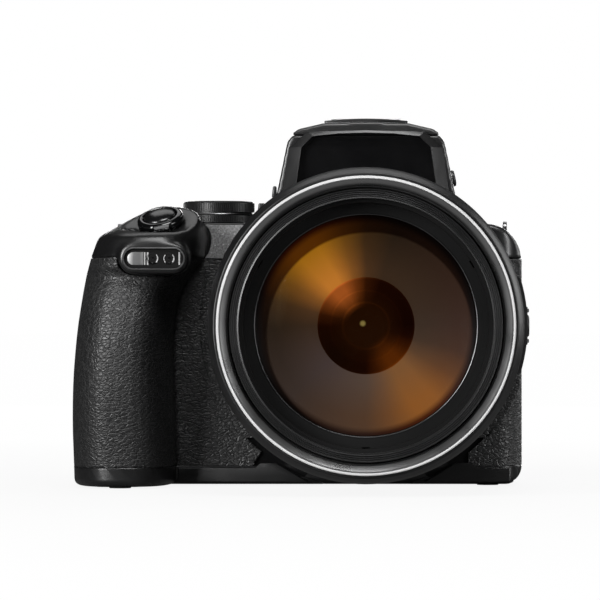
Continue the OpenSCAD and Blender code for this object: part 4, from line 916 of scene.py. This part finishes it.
def addFilterRing():
    size = {"outer": 41.2, "front": 121.3, "bore": 38.5, "back": 111.2, "neck": 37.3, "threadBack": 116.3,
            "seat": 41.7}
    profile = [(size["neck"], size["back"]), (size["seat"], size["back"]),
               (size["seat"], size["back"] + 3.0),
               (size["outer"], size["back"] + 3.0), (size["outer"],
                                                     size["front"] - 0.25), (size["outer"] - 0.2,
                                                                             size["front"])]
    r, d = size["outer"] - 0.3, size["front"] - 0.1
    for i in range(4):
        profile += [(r, d), (r - 0.28, d - 0.3)]
        r -= 0.56
        d -= 0.06
    profile += [(size["bore"], d - 0.1)]
    d -= 0.3
    while d > size["threadBack"] + 0.4:
        profile += [(size["bore"], d), (size["bore"] + 0.18, d - 0.2), (size["bore"], d - 0.4)]
        d -= 0.5
    profile += [(size["bore"], size["threadBack"]), (size["neck"], size["threadBack"])]
    shape = turnedShape(profile)
    for face in shape.faces:
        if -face.calc_center_median().y / mm < size["threadBack"] + 0.2:
            face.material_index = 1
    return addPiece("filterThread", shape, [barrelPaint, flatBlack], "lens_head", ["filter_ring"], 20.0)


addFilterRing()


def addRetainer():
    size = {"inner": 33.6, "outer": 40.7, "front": 109.5, "back": 107.1, "notch": 1.1}
    inner, outer, front = size["inner"], size["outer"], size["front"]
    profile = [(inner, front - 1.0), (inner + 0.15, front - 0.15), (inner + 0.45, front), (36.9, front),
               (37.0, front),
               (38.0, front), (38.1, front), (outer, front), (outer, size["back"]), (inner + 2.6,
                                                                                     size["back"])]
    shape = turnedShape(profile, 360)
    for vert in shape.verts:
        x, z = vert.co.x / mm, vert.co.z / mm - lensHeight
        r = math.hypot(x, z)
        turn = math.degrees(math.atan2(z, x)) % 120.0
        if 36.95 < r < 38.05 and abs(turn - 30.0) < 1.6 and vert.co.y / mm < -109.0:
            vert.co.y += size["notch"] * mm
    return addPiece("glassRetainer", shape, [flatBlack], "lens_head", ["lens_retainer"], 20.0)


addRetainer()


def addGlassLine():
    profile = [(33.75, 109.5), (34.05, 109.5), (34.05, 109.62), (33.9, 109.68), (33.75, 109.62)]
    return addPiece("glassLine", turnedShape(profile), [gunMetal], "lens_head")


addGlassLine()


def addFrontBevel():
    profile = [(44.38, 121.9), (44.38, 122.06), (44.2, 122.06), (43.9, 121.75), (42.35, 120.75),
               (42.2, 120.5), (42.2, 119.4)]
    addPiece("frontBevel", turnedShape(profile), [bevelMetal], "lens_head")
    floor = [(41.25, 117.4), (42.35, 117.4), (42.35, 119.2), (42.15, 119.2), (42.1, 117.9), (41.25, 117.8)]
    addPiece("bevelGroove", turnedShape(floor), [flatBlack], "lens_head")


addFrontBevel()
print("stage: lens pieces")


# Marks on the back and the top, plain shapes without letters

def barMark(cx, cz, width, height):
    return [(cx - width / 2, cz - height / 2), (cx + width / 2, cz - height / 2),
            (cx + width / 2, cz + height / 2),
            (cx - width / 2, cz + height / 2)]


def addBackMark(name, node, body, outlines, paint=markPaint):
    size = {"proud": 0.03, "thick": 0.1}
    low, high = (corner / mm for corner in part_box(node))
    cx, cz = (low.x + high.x) / 2, (low.z + high.z) / 2
    shape = bmesh.new()
    for outline in outlines:
        corners = [(cx - x, high.y + size["proud"], cz + z) for x, z in outline]
        addPrism(shape, corners, (0.0, -size["thick"], 0.0))
    return addPiece(name, shape, [paint], body)


triangle = [(-0.8, -1.0), (1.1, 0.0), (-0.8, 1.0)]
listBars = [barMark(0.0, level, 2.2, 0.3) for level in (-0.75, 0.0, 0.75)]
binShape = [barMark(0.0, 1.0, 2.2, 0.3), [(-0.8, 0.6), (-0.6, -1.1), (0.6, -1.1), (0.8, 0.6)]]
windowShape = [barMark(0.0, 0.8, 2.2, 0.25), barMark(0.0, -0.8, 2.2, 0.25), barMark(-1.0, 0.0, 0.25, 1.6),
               barMark(1.0, 0.0, 0.25, 1.6)]
disc = [(math.cos(math.pi * i / 16), math.sin(math.pi * i / 16)) for i in range(32)]
addBackMark("playbackMark", "playback_button", "playback_key", [triangle])
addBackMark("menuMark", "menu_button", "menu_key", listBars)
addBackMark("deleteMark", "delete_button", "delete_key", binShape)
addBackMark("displayMark", "display_button", "display_key", windowShape)
addBackMark("recordMark", "record_button", "record", [disc], recordRed)


def addSelectorMarks():
    low, high = (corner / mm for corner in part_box("multi_selector"))
    ring = 0.78 * (high.x - low.x) / 2
    outlines = []
    for quarter in range(4):
        turn = math.pi / 2 * quarter
        tip = [(ring + 0.9, 0.0), (ring - 0.5, 0.95), (ring - 0.5, -0.95)]
        outlines.append([(x * math.cos(turn) - z * math.sin(turn),
                          x * math.sin(turn) + z * math.cos(turn)) for x, z in tip])
    return addBackMark("selectorMarks", "multi_selector", "selector", outlines)


def addDialMarks():
    size = {"x": -48.2, "y": 2.0, "top": 92.22, "near": 8.2, "far": 9.9, "count": 10}
    shape = bmesh.new()
    for i in range(size["count"]):
        turn = 2 * math.pi * i / size["count"]
        along = Vector((math.cos(turn), math.sin(turn), 0.0))
        across = Vector((-along.y, along.x, 0.0)) * (0.45 if i % 5 == 0 else 0.22)
        centre = Vector((size["x"], size["y"], size["top"]))
        near, far = centre + along * size["near"], centre + along * size["far"]
        addPrism(shape, [near - across, far - across, far + across, near + across], (0.0, 0.0, -0.1))
    return addPiece("dialMarks", shape, [markPaint], "mode_dial")


def addScreen():
    size = {"border": 2.6, "proud": 0.03, "thick": 0.1}
    low, high = (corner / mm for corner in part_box("monitor_glass"))
    left, right, bottom, top = (low.x + size["border"], high.x - size["border"], low.z + size["border"],
                                high.z - size["border"])
    y = high.y + size["proud"]
    corners = [(left, y, bottom), (right, y, bottom), (right, y, top), (left, y, top)]
    shape = addPrism(bmesh.new(), corners, (0.0, -size["thick"], 0.0), 0.03)
    return addPiece("screenPanel", shape, [screenBlack], "monitor")


addSelectorMarks()
addDialMarks()
addScreen()
print("stage: marks and screen")


# Studio

def addArea(name, place, aim, size, power):
    lamp = bpy.data.lights.new(name, "AREA")
    lamp.shape = "RECTANGLE"
    lamp.size, lamp.size_y = size
    lamp.energy = power
    holder = bpy.data.objects.new(name, lamp)
    scene.collection.objects.link(holder)
    holder.location = place
    holder.rotation_euler = (Vector(aim) - Vector(place)).to_track_quat("-Z", "Y").to_euler()
    return holder


def addFloor():
    mesh = bpy.data.meshes.new("floor")
    shape = bmesh.new()
    bmesh.ops.create_grid(shape, x_segments=1, y_segments=1, size=30.0)
    shape.to_mesh(mesh)
    shape.free()
    floor = bpy.data.objects.new("floor", mesh)
    scene.collection.objects.link(floor)
    floor.location = (0.0, 0.0, -0.0002)
    material, tree, shader = newMaterial("floorPaper")
    shader.inputs["Base Color"].default_value = (0.5, 0.5, 0.5, 1.0)
    shader.inputs["Roughness"].default_value = 0.9
    coords = tree.nodes.new("ShaderNodeTexCoord")
    span = tree.nodes.new("ShaderNodeVectorMath")
    span.operation = "LENGTH"
    tree.links.new(coords.outputs["Object"], span.inputs[0])
    clear = stretchValue(tree, span.outputs["Value"], 0.12, 0.6, 0.9, 0.995)
    path = tree.nodes.new("ShaderNodeLightPath")
    seen = mathValue(tree, "MAXIMUM", path.outputs["Is Camera Ray"], path.outputs["Is Transmission Ray"])
    mirrored = path.outputs["Is Glossy Ray"]
    glow = tree.nodes.new("ShaderNodeEmission")
    split = tree.nodes.new("ShaderNodeSeparateXYZ")
    tree.links.new(coords.outputs["Object"], split.inputs["Vector"])
    ahead = stretchValue(tree, split.outputs["Y"], -0.3, 0.0, 0.42, 0.02)
    strength = mathValue(tree, "MAXIMUM", seen, mathValue(tree, "MULTIPLY", mirrored, ahead))
    tree.links.new(strength, glow.inputs["Strength"])
    mix = tree.nodes.new("ShaderNodeMixShader")
    tree.links.new(mathValue(tree, "MULTIPLY", mathValue(tree, "MAXIMUM", seen, mirrored), clear),
                   mix.inputs["Fac"])
    tree.links.new(shader.outputs["BSDF"], mix.inputs[1])
    tree.links.new(glow.outputs["Emission"], mix.inputs[2])
    tree.links.new(mix.outputs["Shader"], tree.nodes["Material Output"].inputs["Surface"])
    mesh.materials.append(material)
    return floor


def addWorld():
    world = bpy.data.worlds.new("studio")
    scene.world = world
    world.use_nodes = True
    tree = world.node_tree
    back = tree.nodes["Background"]
    path = tree.nodes.new("ShaderNodeLightPath")
    seen = mathValue(tree, "MAXIMUM", path.outputs["Is Camera Ray"], path.outputs["Is Transmission Ray"])
    coords = tree.nodes.new("ShaderNodeTexCoord")
    split = tree.nodes.new("ShaderNodeSeparateXYZ")
    tree.links.new(coords.outputs["Generated"], split.inputs["Vector"])
    behind = stretchValue(tree, split.outputs["Y"], 0.97, 0.995, 0.0, 1.0)
    mirrored = mathValue(tree, "MULTIPLY", mathValue(tree, "MULTIPLY", behind, 0.1),
                         path.outputs["Is Glossy Ray"])
    share = mathValue(tree, "MAXIMUM", seen, mirrored)
    tree.links.new(mixColour(tree, share, (0.01, 0.01, 0.01), (1.0, 1.0, 1.0)), back.inputs["Color"])
    back.inputs["Strength"].default_value = 1.0
    return world


addFloor()
addWorld()
addArea("leftBox", (-0.75, -0.9, 0.32), (-0.05, -0.04, 0.06), (0.45, 0.58), 17.0)
addArea("rightBox", (0.95, -0.75, 0.28), (0.02, -0.04, 0.07), (0.3, 0.5), 7.0)
addArea("frontBox", (0.1, -0.8, 1.15), (0.0, -0.04, 0.05), (0.6, 0.45), 11.0)
addArea("topBox", (0.0, 0.55, 1.0), (0.0, -0.03, 0.06), (0.9, 0.5), 2.2)
addArea("rimBox", (0.95, 0.6, 0.42), (0.0, -0.03, 0.06), (0.4, 0.8), 3.6)
addArea("backBox", (0.15, 1.4, 0.22), (0.0, 0.02, 0.05), (0.8, 0.4), 9.0)

camera = bpy.data.cameras.new("photoCamera")
camera.sensor_width = 36.0
camera.lens = 275.3
camera.shift_x = -0.11
camera.shift_y = 0.04285
camera.clip_start = 0.05
camera.clip_end = 30.0
cameraHolder = bpy.data.objects.new("photoCamera", camera)
scene.collection.objects.link(cameraHolder)
cameraHolder.location = (0.0, -1.502, lensHeight * mm)
cameraHolder.rotation_euler = (math.radians(90.0), 0.0, 0.0)
scene.camera = cameraHolder
scene.view_settings.view_transform = "Standard"
print("stage: studio and camera")
